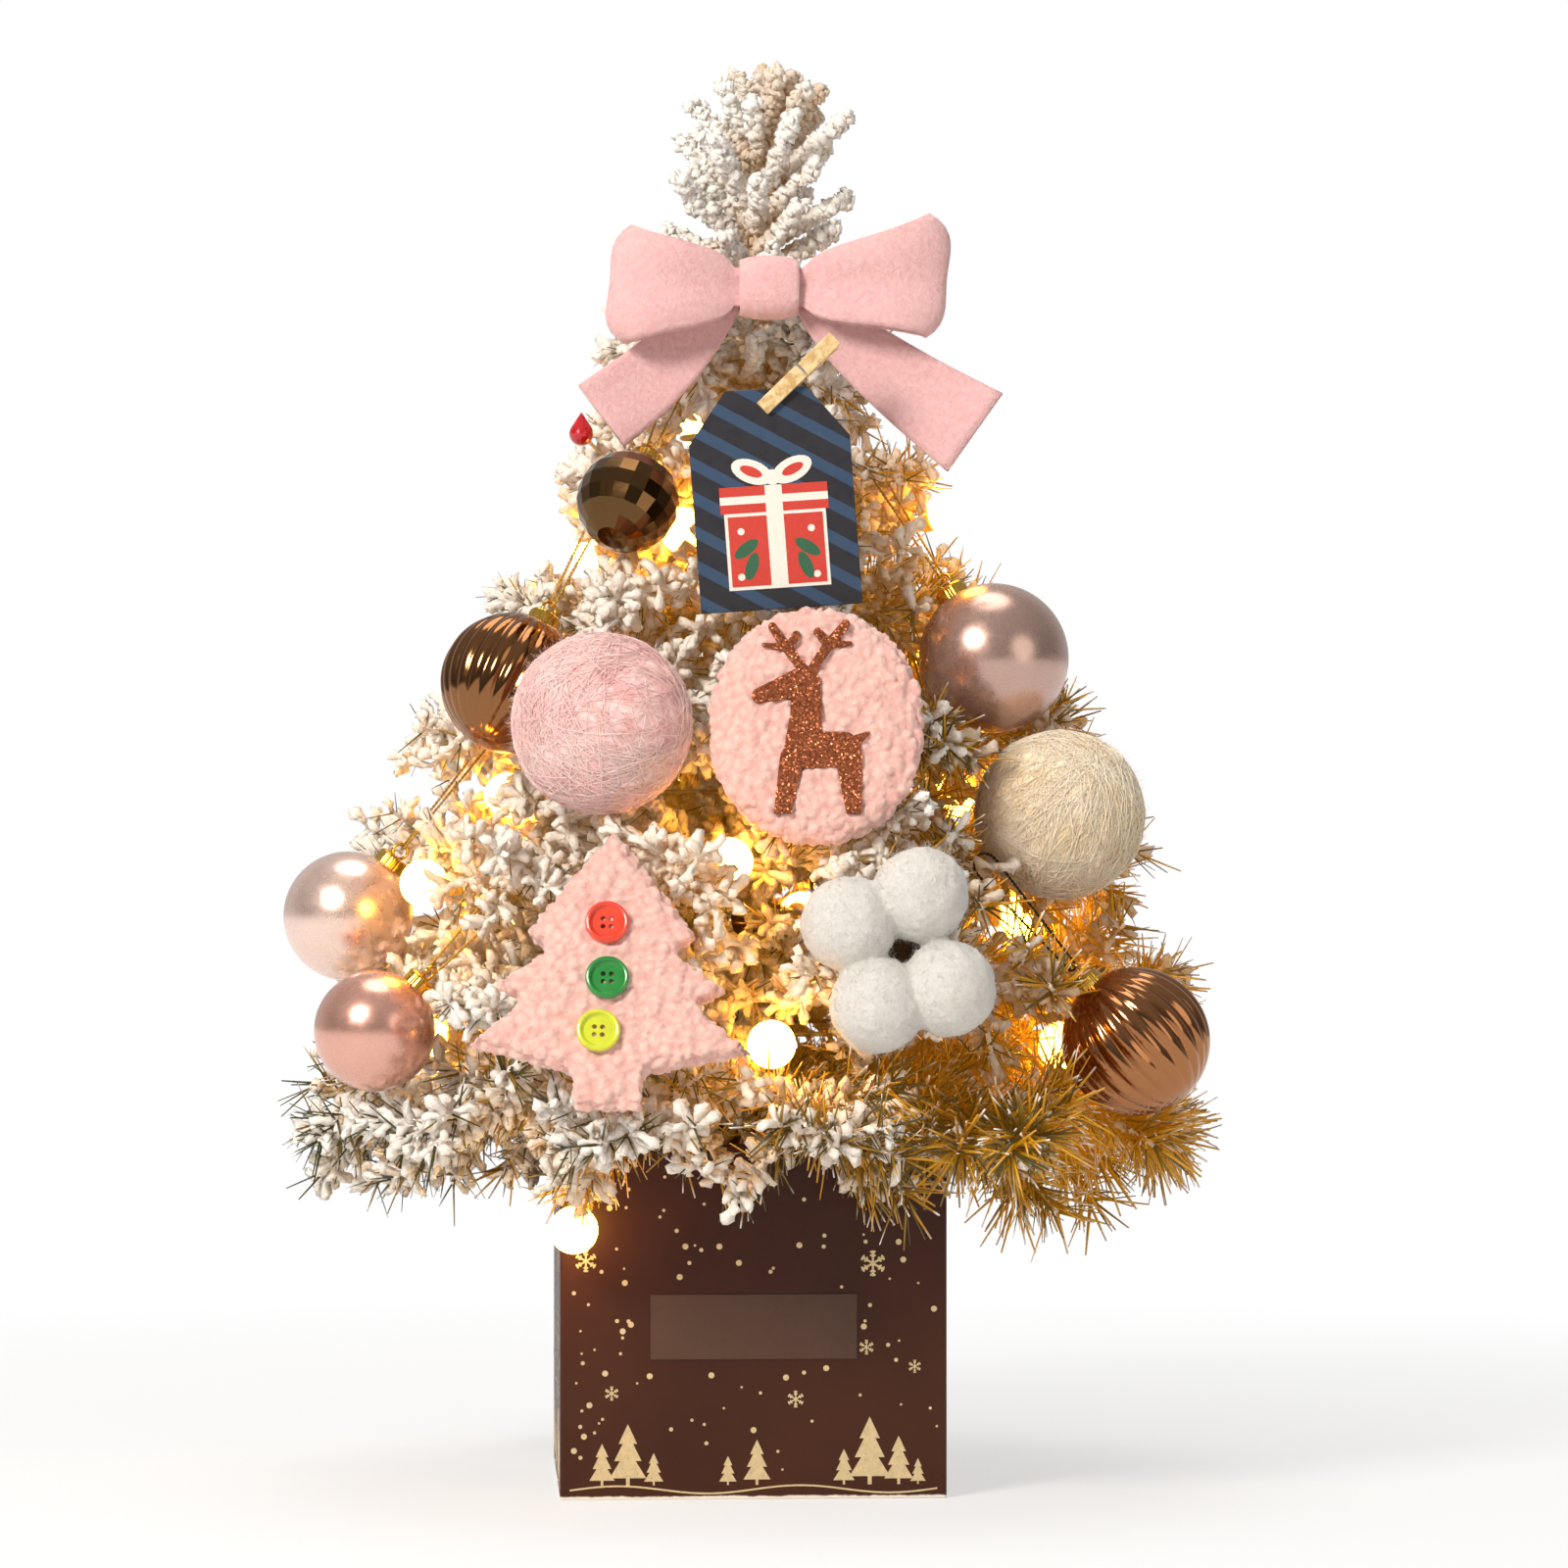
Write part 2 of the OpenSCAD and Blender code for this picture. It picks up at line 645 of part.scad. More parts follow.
// Azimuth between two branches of tier i at which the wire climbs past it, at most one turn on from az
function climb_az(i, az) =
    let (step = 360 / tier_counts[i], first = tier_turns[i] + step / 2)
        first + step * floor((az + 360 - first) / step);
wire_start_az = 84;
function turn_start(g) = g == 0 ? wire_start_az : climb_az(g, turn_start(g - 1));
wire_steps = 17;
wire_gaps = last_tier;
wire_exit = polar(case_front + 4, wire_start_az, case_foot + case_h + touch);
wire_path = concat(
    [wire_exit, wire_exit + [0, 0, 14]],
    [
        for (g = [0:wire_gaps - 1])
            let (
                from = turn_start(g),
                to = g == wire_gaps - 1 ? from + 300 : turn_start(g + 1),
                r = wind_r(g)
            )
                for (k = [0:wire_steps]) polar(r, lerp(from, to, k / wire_steps), gap_z(g, r))
    ]
);

module light_wire() {
    echo(least_gap_of_the_light_wire = least_gap(wire_path, wire_r, 6));
    color("#2f3a24") {
        tube(wire_path, wire_r, 6, [1, 0, 0]);
        for (l = lights) {
            start = lead_start(l) + lead_dir(l) * (wire_r + touch);
            end = l[0] - lead_dir(l) * (globe_r + socket_len - 2);
            along(start, end)
                cylinder(h = norm(end - start), r = wire_r * 0.8, $fn = 16);
        }
    }
}

// Turns +Z of the children to point from a to b, starting at a
module along(a, b) {
    d = b - a;
    translate(a)
        rotate([0, acos(d[2] / norm(d)), atan2(d[1], d[0])])
            children();
}

module light_globes() {
    color("#fff1cf")
        for (l = lights)
            translate(l[0])
                sphere(r = globe_r, $fn = 32);
}

module light_sockets() {
    color("#d8c79a")
        for (l = lights)
            along(l[0] - lead_dir(l) * (globe_r + socket_len - 2 - touch), l[0])
                difference() {
                    union() {
                        cylinder(h = socket_len, r = socket_r - 1, $fn = 24);
                        translate([0, 0, socket_len / 2])
                            cylinder(h = socket_len / 2, r = socket_r, $fn = 24);
                    }
                    translate([0, 0, globe_r + socket_len - 2 - touch])
                        sphere(r = globe_r + touch, $fn = 32);
                }
}

// Battery case

module battery_case() {
    slot_w = 7;
    color("#e8e6e0")
        translate([0, 0, case_foot])
            difference() {
                translate([-case_w / 2, case_front, 0])
                    cube([case_w, case_rear - case_front, case_h]);
                // Bay for the cells, open at the back
                translate([-bay_w / 2, case_front + case_wall, case_wall])
                    cube([bay_w, case_rear, bay_h]);
                // Track for the cover, open at the top
                translate([-bay_w / 2, case_back, case_wall])
                    cube([bay_w, cover_t + 2 * cover_gap, case_h]);
                // Window between the track's lips
                translate([-bay_w / 2 + lip_t, case_back, case_wall])
                    cube([bay_w - 2 * lip_t, case_rear, case_h]);
                // Room for the switch, and its slot in the top
                translate([-bay_w / 2, case_front + case_wall, 2 * case_wall + bay_h])
                    cube([bay_w, bay_d - case_wall, switch_room]);
                translate([-slot_w / 2, cell_y - 2, case_h - 2 * case_wall])
                    cube([slot_w, 4, 3 * case_wall]);
            }
}

module battery_cells() {
    nub_r = 2.6;
    nub_h = 1.2;
    for (side = [-1, 1])
        color("#4a4f57")
            translate([side * (cell_r + 0.2), cell_y, case_foot + case_wall + bay_h / 2])
                rotate([side < 0 ? 0 : 180, 0, 0])
                    translate([0, 0, -cell_len / 2]) {
                        cylinder(h = cell_len, r = cell_r);
                        translate([0, 0, cell_len])
                            cylinder(h = nub_h, r = nub_r);
                    }
}

module battery_contacts() {
    plate_t = 0.5;
    plate_w = 10;
    spring_turns = 2;
    spring_wire = 0.3;
    room = (bay_h - cell_len) / 2;
    spring_path = [
        for (k = [0:spring_turns * 8])
            let (t = k / (spring_turns * 8))
                polar(lerp(4.4, 2.8, t), k * 45, lerp(plate_t + 0.4, room - 0.5, t))
    ];
    color("#c9c9c4")
        for (side = [-1, 1], end = [-1, 1])
            translate([side * (cell_r + 0.2), cell_y, case_foot + case_wall + bay_h / 2])
                rotate([end < 0 ? 0 : 180, 0, 0])
                    translate([0, 0, -bay_h / 2 + touch]) {
                        translate([-plate_w / 2, -plate_w / 2, 0])
                            cube([plate_w, plate_w, plate_t]);
                        if (side == end)
                            tube(spring_path, spring_wire, 5, [1, 0, 0]);
                    }
}

module battery_cover() {
    grip_n = 4;
    color("#dedcd4")
        translate([0, 0, case_foot + case_wall + fit]) {
            translate([-bay_w / 2 + cover_gap, case_back + cover_gap, 0])
                cube([bay_w - 2 * cover_gap, cover_t, case_h - case_wall - fit]);
            for (k = [0:grip_n - 1])
                translate([-6, case_back + cover_gap + cover_t - eps, bay_h - 4 - 3 * k])
                    cube([12, 1, 1.4]);
        }
}

module switch_slider() {
    knob = [3, 3, 2 * case_wall + 2];
    plate = [10, 6, 1.2];
    color("#33312e")
        translate([-1.5, cell_y, case_foot + case_h - case_wall - plate[2] - fit]) {
            translate([-plate[0] / 2, -plate[1] / 2, 0])
                cube(plate);
            translate([-knob[0] / 2, -knob[1] / 2, plate[2] - eps])
                cube(knob);
        }
}

// Felt bow

// A thick strip: each station is [middle, half width vector, half thickness vector, fold]
strip_cells = 4;
module felt_strip(stations) {
    m = strip_cells;
    n = 2 * (m + 1);
    function edge(s, k, face) =
        let (v = 2 * k / m - 1) s[0] + v * s[1] + (face + s[3] * cos(270 * v)) * s[2];
    points = [
        for (s = stations)
            each concat([for (k = [0:m]) edge(s, k, 1)], [for (k = [m:-1:0]) edge(s, k, -1)])
    ];
    last = len(stations) - 1;
    caps = [
        for (k = [0:m - 1])
            let (a = k, b = k + 1, c = n - 2 - k, d = n - 1 - k, o = last * n)
                each [[a, c, d], [a, b, c], [o + a, o + d, o + c], [o + a, o + c, o + b]]
    ];
    faces = concat(wall_faces(last + 1, n), caps);
    polyhedron(points, [for (f = faces) [f[0], f[2], f[1]]], convexity = 8);
}

// A folded loop: out along the bulged front layer, round the outer end and back along the flat rear one
module bow_loop(side, len, lift, half_h) {
    steps = 14;
    inner_x = 3;
    flare_x = 12;
    pinch_h = 6;
    middle_y = -0.75 * felt_t;
    layer_y = felt_t / 2 + 0.4;
    front_bulge = 8;
    rear_bulge = 1.5;
    function out(a) = inner_x + len * (cos(a) + 1) / 2;
    function flare(a) = max(0, (out(a) - flare_x) / (inner_x + len - flare_x));
    function depth(a) =
        let (s = abs(sin(a)), bulge = (a < 0 ? front_bulge : rear_bulge) * s * sqrt(flare(a)))
            middle_y + (a < 0 ? -1 : 1) * (layer_y * min(1, 8 * s) + bulge);
    function middle(a) = [side * out(a), depth(a), lift * flare(a)];
    stations = [
        for (k = [0:steps])
            let (
                a = lerp(-170, 170, k / steps),
                along = middle(a + 1) - middle(a - 1),
                wide = lerp(pinch_h, half_h, pow(flare(a), 0.45))
            )
                [
                    middle(a),
                    [0, 0, side * wide],
                    side * felt_t / 2 * unit([along[1], -along[0], 0]),
                    0.4 * (1 - flare(a))
                ]
    ];
    felt_strip(stations);
}

module bow_loops() {
    color("#f5c1bf")
        translate(knot_at) {
            bow_loop(-1, 47, 1, 18);
            bow_loop(1, 53, 4, 18);
        }
}

// One strip through the knot, hanging down on both sides: [x, z, y from its place in the knot, half width]
tail_stops = [
    [-52, -40, -3.2, 12], [-40, -31, -0.2, 11.5], [-28, -20, 1.6, 10], [-18, -9, 1.4, 7.5],
    [-11, -0.8, 0.1, 4.4], [-4, 0, 0, 4.5], [4, 0, 0, 4.5], [11, -0.8, 0.1, 4.4],
    [18, -9, 1.4, 7.5], [30, -20, 1.4, 10], [47, -33, -1.2, 12.5], [64, -45, -7.2, 15]
];
module bow_tails() {
    last = len(tail_stops) - 1;
    color("#f0b7b5")
        translate(knot_at)
            felt_strip([
                for (i = [0:last])
                    let (
                        p = tail_stops[i],
                        d = tail_stops[min(last, i + 1)] - tail_stops[max(0, i - 1)],
                        across = unit([-d[1], 0, d[0]])
                    )
                        [[p[0], p[2] + 1.6 * felt_t, p[1]], p[3] * across, [0, felt_t / 2, 0], 0]
            ]);
}

// Band wrapped round the middle of the bow
module bow_knot() {
    knot_w = 19;
    knot_h = 15 + 2 * felt_t;
    color("#f2bab8")
        translate(knot_at)
            rotate([90, 0, 90])
                linear_extrude(height = knot_w, center = true)
                    difference() {
                        rounded_box_outline(knot_d, knot_h, 4.5);
                        rounded_box_outline(knot_d - 2 * felt_t, knot_h - 2 * felt_t, 2.5);
                    }
}

module rounded_box_outline(w, h, r) {
    hull()
        for (x = [-1, 1], y = [-1, 1])
            translate([x * (w / 2 - r), y * (h / 2 - r)])
                circle(r = r, $fn = 24);
}

// Tag and clothes-peg

module in_tag_frame() {
    facing_front(tag_at, tag_lean, tag_turn)
        children();
}

module gift_tag() {
    shoulder_drop = 16;
    top_half = 12.5;
    color("#3a3441")
        in_tag_frame()
            linear_extrude(height = tag_t, center = true)
                polygon([
                    [-tag_w / 2, -tag_h / 2], [tag_w / 2, -tag_h / 2],
                    [tag_w / 2, tag_h / 2 - shoulder_drop], [top_half, tag_h / 2],
                    [-top_half, tag_h / 2], [-tag_w / 2, tag_h / 2 - shoulder_drop]
                ]);
}

coil_r = 1.7;
coil_wire = 0.4;
coil_turns = 3;
coil_pitch = 1.35;

// Peg frame: X from the jaws to the handles, Z towards the viewer, origin at the coil's axis
module in_peg_frame() {
    in_tag_frame()
        translate([0, tag_h / 2 - 5, 0])
            rotate([0, 0, peg_tilt])
                translate([peg_step, 0, 0])
                    children();
}

// Side profile of a lever: flat jaw, notch for the coil, handle that leans away
module peg_lever() {
    tail = peg_len - peg_pivot;
    difference() {
        translate([0, peg_w / 2, 0])
            rotate([90, 0, 0])
                linear_extrude(height = peg_w)
                    polygon([
                        [-peg_pivot, jaw_gap], [0, jaw_gap], [tail, jaw_gap + 2.6],
                        [tail, jaw_gap + 4.2], [2, jaw_gap + lever_t + 0.2],
                        [-2, jaw_gap + lever_t], [-peg_pivot, jaw_gap + lever_t - 1.2]
                    ]);
        translate([0, peg_w, 0])
            rotate([90, 0, 0])
                cylinder(h = 2 * peg_w, r = coil_r + coil_wire + 0.25, $fn = 32);
    }
}

module peg_front_lever() {
    color("#e3c48d")
        in_peg_frame()
            peg_lever();
}

module peg_rear_lever() {
    color("#d9b87f")
        in_peg_frame()
            mirror([0, 0, 1])
                peg_lever();
}

// Torsion spring: a coil between the levers, with an arm hooked over each of them
module peg_spring() {
    half = coil_turns * coil_pitch / 2 + 1;
    arm_z = jaw_gap + lever_t + coil_wire + 0.75;
    coil = [
        for (k = [0:coil_turns * 8])
            [coil_r * cos(k * 45), (k / 8 - coil_turns / 2) * coil_pitch, coil_r * sin(k * 45)]
    ];
    path = concat(
        [[coil_r, 1.2, -arm_z], [coil_r, -half, -arm_z], [coil_r, -half, -1.6]],
        coil,
        [[coil_r, half, 1.6], [coil_r, half, arm_z], [coil_r, -1.2, arm_z]]
    );
    echo(least_gap_of_the_peg_spring = least_gap(path, coil_wire, 7));
    color("#b9b9b4")
        in_peg_frame()
            tube(path, coil_wire, 6, [1, 0, 0]);
}

// Plush pads, reindeer and buttons

module in_disc_frame() {
    facing_front(disc_at, disc_lean, 0)
        children();
}

// Round pad, a little taller than wide, with a flat middle, a crowned edge and a drawn-in rim
module plush_disc() {
    crown = 8;
    waist = 1.2;
    half_w = 0.95 * disc_r;
    stretch = 0.12 * disc_r;
    edge = half_w - crown;
    face = [for (k = [0:6]) [edge + crown * sin(k * 15), pad_t / 2 * cos(k * 15)]];
    half = concat(
        [[0, pad_t / 2]],
        [for (k = [0:5]) face[k]],
        [[half_w - waist, 0]],
        [for (k = [5:-1:0]) [face[k][0], -face[k][1]]],
        [[0, -pad_t / 2]]
    );
    color("#f6bdb3")
        in_disc_frame() {
            for (turn = [0, 180])
                rotate([0, 0, turn])
                    translate([0, stretch, 0])
                        rotate_extrude(angle = 180, $fn = 72)
                            polygon(half);
            rotate([90, 0, 0])
                linear_extrude(height = 2 * stretch, center = true)
                    polygon(concat(half, [for (k = [len(half) - 2:-1:1]) [-half[k][0], half[k][1]]]));
        }
}

// Tapered limb between two round ends
module limb(a, ra, b, rb) {
    hull() {
        translate(a) circle(r = ra, $fn = 16);
        translate(b) circle(r = rb, $fn = 16);
    }
}

module reindeer() {
    cut_t = 1.2;
    hoof_y = -28.2;
    limbs = [
        [[-17.6, 8.2], 2.3, [-5.4, 12.2], 4.4], [[-3.4, 12.6], 4.2, [-3.6, 2], 4.8],
        [[-3.6, 2], 4.8, [-4.8, -8.4], 5.6], [[-4.8, -8.6], 5.6, [7.6, -8.4], 5.4],
        [[-8, -11], 3.6, [-11, -28], 2.6], [[9, -10], 4.2, [10.6, -28], 2.3],
        [[12, -5.4], 1.6, [15.2, -3.4], 0.5],
        [[-4.2, 16.5], 1.5, [-9.4, 23.2], 1.5], [[-9.4, 23.2], 1.5, [-13.4, 29.6], 1.3],
        [[-9.4, 23.2], 1.2, [-16.2, 24], 0.5], [[-8.6, 23], 1.3, [-6.2, 27], 1.3],
        [[-1.4, 16.5], 1.5, [3.6, 24.2], 1.6], [[3.6, 24.2], 1.5, [8.8, 30.4], 1.4],
        [[4, 24], 1.3, [10.2, 24.4], 0.6], [[2.8, 25], 1.5, [0.4, 28], 1.3]
    ];
    color("#9a4a2a")
        in_disc_frame()
            translate([0, 0, pad_t / 2 + touch])
                linear_extrude(height = cut_t)
                    difference() {
                        for (l = limbs)
                            limb(l[0], l[1], l[2], l[3]);
                        translate([-disc_r, hoof_y - disc_r])
                            square([2 * disc_r, disc_r]);
                    }
}

module in_plush_frame() {
    facing_front(plush_at, plush_lean, plush_turn)
        children();
}

// Outline of the plush tree: three tiers and a trunk, from the tip down its right side
plush_shares = [
    [0.035, 0.505], [0.62, 0.14], [0.45, 0.08], [0.84, -0.055],
    [0.62, -0.11], [1, -0.28], [0.25, -0.375], [0.25, -0.495]
];
function plush_side(s) = [for (q = plush_shares) [s * plush_half_w * q[0], plush_h * q[1]]];
module plush_tree() {
    last = len(plush_shares) - 1;
    outline = concat(plush_side(1), [for (k = [last:-1:0]) plush_side(-1)[k]]);
    color("#f6bdb3")
        in_plush_frame()
            for (face = [0, 1])
                mirror([0, 0, face])
                    linear_extrude(height = pad_t / 2, scale = 0.92)
                        polygon(outline);
}

// Four-hole button with a raised rim and a dished middle
module button(p, tint) {
    button_t = 3;
    rim = 1.5;
    hole_r = 0.75;
    hole_at = 1.7;
    bead = rim / 2;
    rim_at = [button_r - bead, button_t - bead];
    color(tint)
        in_plush_frame()
            translate([p[0], p[1], pad_t / 2 + touch])
                difference() {
                    rotate_extrude()
                        polygon(concat(
                            [[0, 0], [button_r - 1, 0], [button_r, 1]],
                            [for (k = [0:6]) rim_at + bead * [cos(k * 30), sin(k * 30)]],
                            [[button_r - rim - 0.6, button_t - 1.4], [0, button_t - 1.4]]
                        ));
                    for (k = [0:3])
                        rotate([0, 0, 45 + 90 * k])
                            translate([hole_at, 0, -1])
                                cylinder(h = button_t + 2, r = hole_r, $fn = 16);
                }
}

module red_button() {
    button([-1.6, 13.7], "#e8503a");
}

module green_button() {
    button([-1.1, -3.6], "#2f8a3c");
}

module lime_button() {
    button([-3.3, -20.2], "#d8dc3a");
}

// Cotton flower, fibre balls, berry and ties

boll_r = 14.5;
boll_places = [[-14.7, 8.8], [6.8, 17.6], [-6.5, -15.6], [14.7, -10.6]];
module cotton_bolls() {
    color("#f4f0ec")
        facing_front(cotton_at, 10, 0)
            difference() {
                for (p = boll_places)
                    translate([p[0], p[1], 0])
                        sphere(r = boll_r, $fn = 40);
                translate([-60, -60, -60 - boll_r / 2])
                    cube([120, 120, 60]);
            }
}

// Dry husk behind the bolls: a cup and four pointed bracts
module cotton_husk() {
    bract_t = 1.2;
    bract_len = 24;
    broad = bract_len * 0.6;
    color("#7a5230")
        facing_front(cotton_at, 10, 0)
            translate([0, 0, -boll_r / 2 - touch]) {
                mirror([0, 0, 1])
                    cylinder(h = 4, r1 = 7, r2 = 3);
                for (az = [5, 95, 185, 275])
                    rotate([0, 0, az])
                        translate([0, 0, -bract_t])
                            linear_extrude(height = bract_t)
                                polygon([[0, -5], [broad, -4.5], [bract_len, 0], [broad, 4.5], [0, 5]]);
            }
}

module pink_fibre_ball() {
    color("#f2c1bf")
        translate(pink_ball_at)
            sphere(r = pink_ball_r, $fn = 64);
}

module white_fibre_ball() {
    color("#ece6d8")
        translate(white_ball_at)
            sphere(r = white_ball_r, $fn = 64);
}

// Teardrop berry, point up
module red_berry() {
    berry_r = 3.8;
    color("#c2101c")
        translate(berry_at)
            rotate_extrude()
                polygon(concat(
                    [for (k = [0:8]) berry_r * [sin(k * 15), -cos(k * 15)]],
                    [[0, berry_r * 1.8]]
                ));
}

module tie_wires() {
    color("#5b4a30")
        for (t = ties)
            along(t[0], t[1])
                cylinder(h = norm(t[1] - t[0]), r = tie_r, $fn = 16);
}

gift_box();
ballast_block();
foam_block();
front_panel();
trunk();
tier(0);  // branch_tier_1
tier(1);  // branch_tier_2
tier(2);  // branch_tier_3
tier(3);  // branch_tier_4
tier(4);  // branch_tier_5
tier(5);  // branch_tier_6
tier(6);  // branch_tier_7
leader_sprig();
light_wire();
light_globes();
light_sockets();
battery_case();
battery_cells();
battery_contacts();
battery_cover();
switch_slider();
bow_loops();
bow_tails();
bow_knot();
peg_rear_lever();
peg_front_lever();
peg_spring();
gift_tag();
plush_disc();
reindeer();
plush_tree();
red_button();
green_button();
lime_button();
cotton_bolls();
cotton_husk();
pink_fibre_ball();
white_fibre_ball();
red_berry();
tie_wires();
faceted_ball();
bauble_cap(faceted);  // faceted_cap
cord_loop(faceted, "#c9a24a");  // faceted_loop
ribbed_ball(ribbed_left, "#5b3018");  // ribbed_left_ball
bauble_cap(ribbed_left);  // ribbed_left_cap
cord_loop(ribbed_left, "#c9a24a");  // ribbed_left_loop
ribbed_ball(ribbed_right, "#6a3820");  // ribbed_right_ball
bauble_cap(ribbed_right);  // ribbed_right_cap
cord_loop(ribbed_right, "#3b332b");  // ribbed_right_loop
plain_ball(pearl_right, "#a98a7e");  // pearl_right_ball
bauble_cap(pearl_right);  // pearl_right_cap
cord_loop(pearl_right, "#c9a24a");  // pearl_right_loop
plain_ball(pearl_left, "#eac7b8");  // pearl_left_ball
bauble_cap(pearl_left);  // pearl_left_cap
cord_loop(pearl_left, "#c9a24a");  // pearl_left_loop
plain_ball(satin, "#cf9c8d");  // satin_ball
bauble_cap(satin);  // satin_cap
cord_loop(satin, "#c9a24a");  // satin_loop
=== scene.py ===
import json
import math

import bmesh
import bpy
import numpy as np
from mathutils import Matrix, Vector, noise
from mathutils.bvhtree import BVHTree

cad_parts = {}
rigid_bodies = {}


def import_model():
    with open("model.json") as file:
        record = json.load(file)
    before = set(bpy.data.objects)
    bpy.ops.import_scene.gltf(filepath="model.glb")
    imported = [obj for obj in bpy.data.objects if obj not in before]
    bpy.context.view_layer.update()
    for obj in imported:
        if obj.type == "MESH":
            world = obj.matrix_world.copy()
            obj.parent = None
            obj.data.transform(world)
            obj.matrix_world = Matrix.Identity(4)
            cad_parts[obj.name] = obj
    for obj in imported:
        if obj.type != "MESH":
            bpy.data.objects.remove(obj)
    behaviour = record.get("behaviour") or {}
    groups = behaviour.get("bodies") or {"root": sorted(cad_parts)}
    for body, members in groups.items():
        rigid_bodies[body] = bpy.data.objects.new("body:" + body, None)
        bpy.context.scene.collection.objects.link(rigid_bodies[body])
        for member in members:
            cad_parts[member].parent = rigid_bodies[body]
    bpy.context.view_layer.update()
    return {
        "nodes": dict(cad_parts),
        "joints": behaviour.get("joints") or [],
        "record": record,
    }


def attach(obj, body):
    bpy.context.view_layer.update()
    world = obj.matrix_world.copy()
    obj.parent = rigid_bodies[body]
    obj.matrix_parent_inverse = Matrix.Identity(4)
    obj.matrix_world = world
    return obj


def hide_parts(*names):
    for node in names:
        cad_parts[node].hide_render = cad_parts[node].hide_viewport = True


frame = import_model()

NODES = frame["nodes"]
MM = 0.001

bl_info = {
    "name": "Flocked tabletop tree",
    "version": (1, 0, 0),
    "blender": (4, 5, 0),
    "location": "3D Viewport > Sidebar > Tree",
    "description": "Builds a lit, flocked tabletop tree with its ornaments and gift box",
    "category": "Add Mesh",
}


# Sizes and colours

def linear(code):
    """Linear colour of an sRGB hex code."""
    parts = [int(code[k:k + 2], 16) / 255 for k in (1, 3, 5)]
    return tuple(p / 12.92 if p <= 0.04045 else ((p + 0.055) / 1.055) ** 2.4 for p in parts)


def titled(name):
    """A label from a property's name."""
    return name.replace("_", " ").capitalize()


def length_prop(name, value, text):
    return bpy.props.FloatProperty(
        name=titled(name), description=text, default=value, min=0, precision=4,
        unit="LENGTH", subtype="DISTANCE")


def colour_prop(name, code, text):
    return bpy.props.FloatVectorProperty(
        name=titled(name), description=text, default=linear(code), size=3, min=0, max=1,
        subtype="COLOR")


SIZES = {
    "box_width": (0.12, "Width and depth of the gift box"),
    "box_height": (0.11, "Height of the gift box"),
    "board": (0.0016, "Thickness of the box board"),
    "needle": (0.018, "Length of a bare needle"),
    "needle_radius": (0.00075, "Half width of a bare needle at its foot"),
    "flock": (0.0082, "Length of a flocked needle"),
    "flock_radius": (0.0016, "Radius of a flocked needle"),
    "felt": (0.002, "Thickness of the bow's felt"),
    "globe": (0.0074, "Radius of a light's globe"),
    "wire": (0.0008, "Radius of the light string's wire"),
    "cord": (0.00045, "Radius of a bauble's cord"),
    "cap": (0.0052, "Radius of a bauble's cap"),
    "tag_width": (0.0495, "Width of the card tag"),
    "tag_height": (0.068, "Height of the card tag"),
    "tag_board": (0.0008, "Thickness of the card tag"),
    "curl": (0.0034, "Width of a curl in the plush"),
}
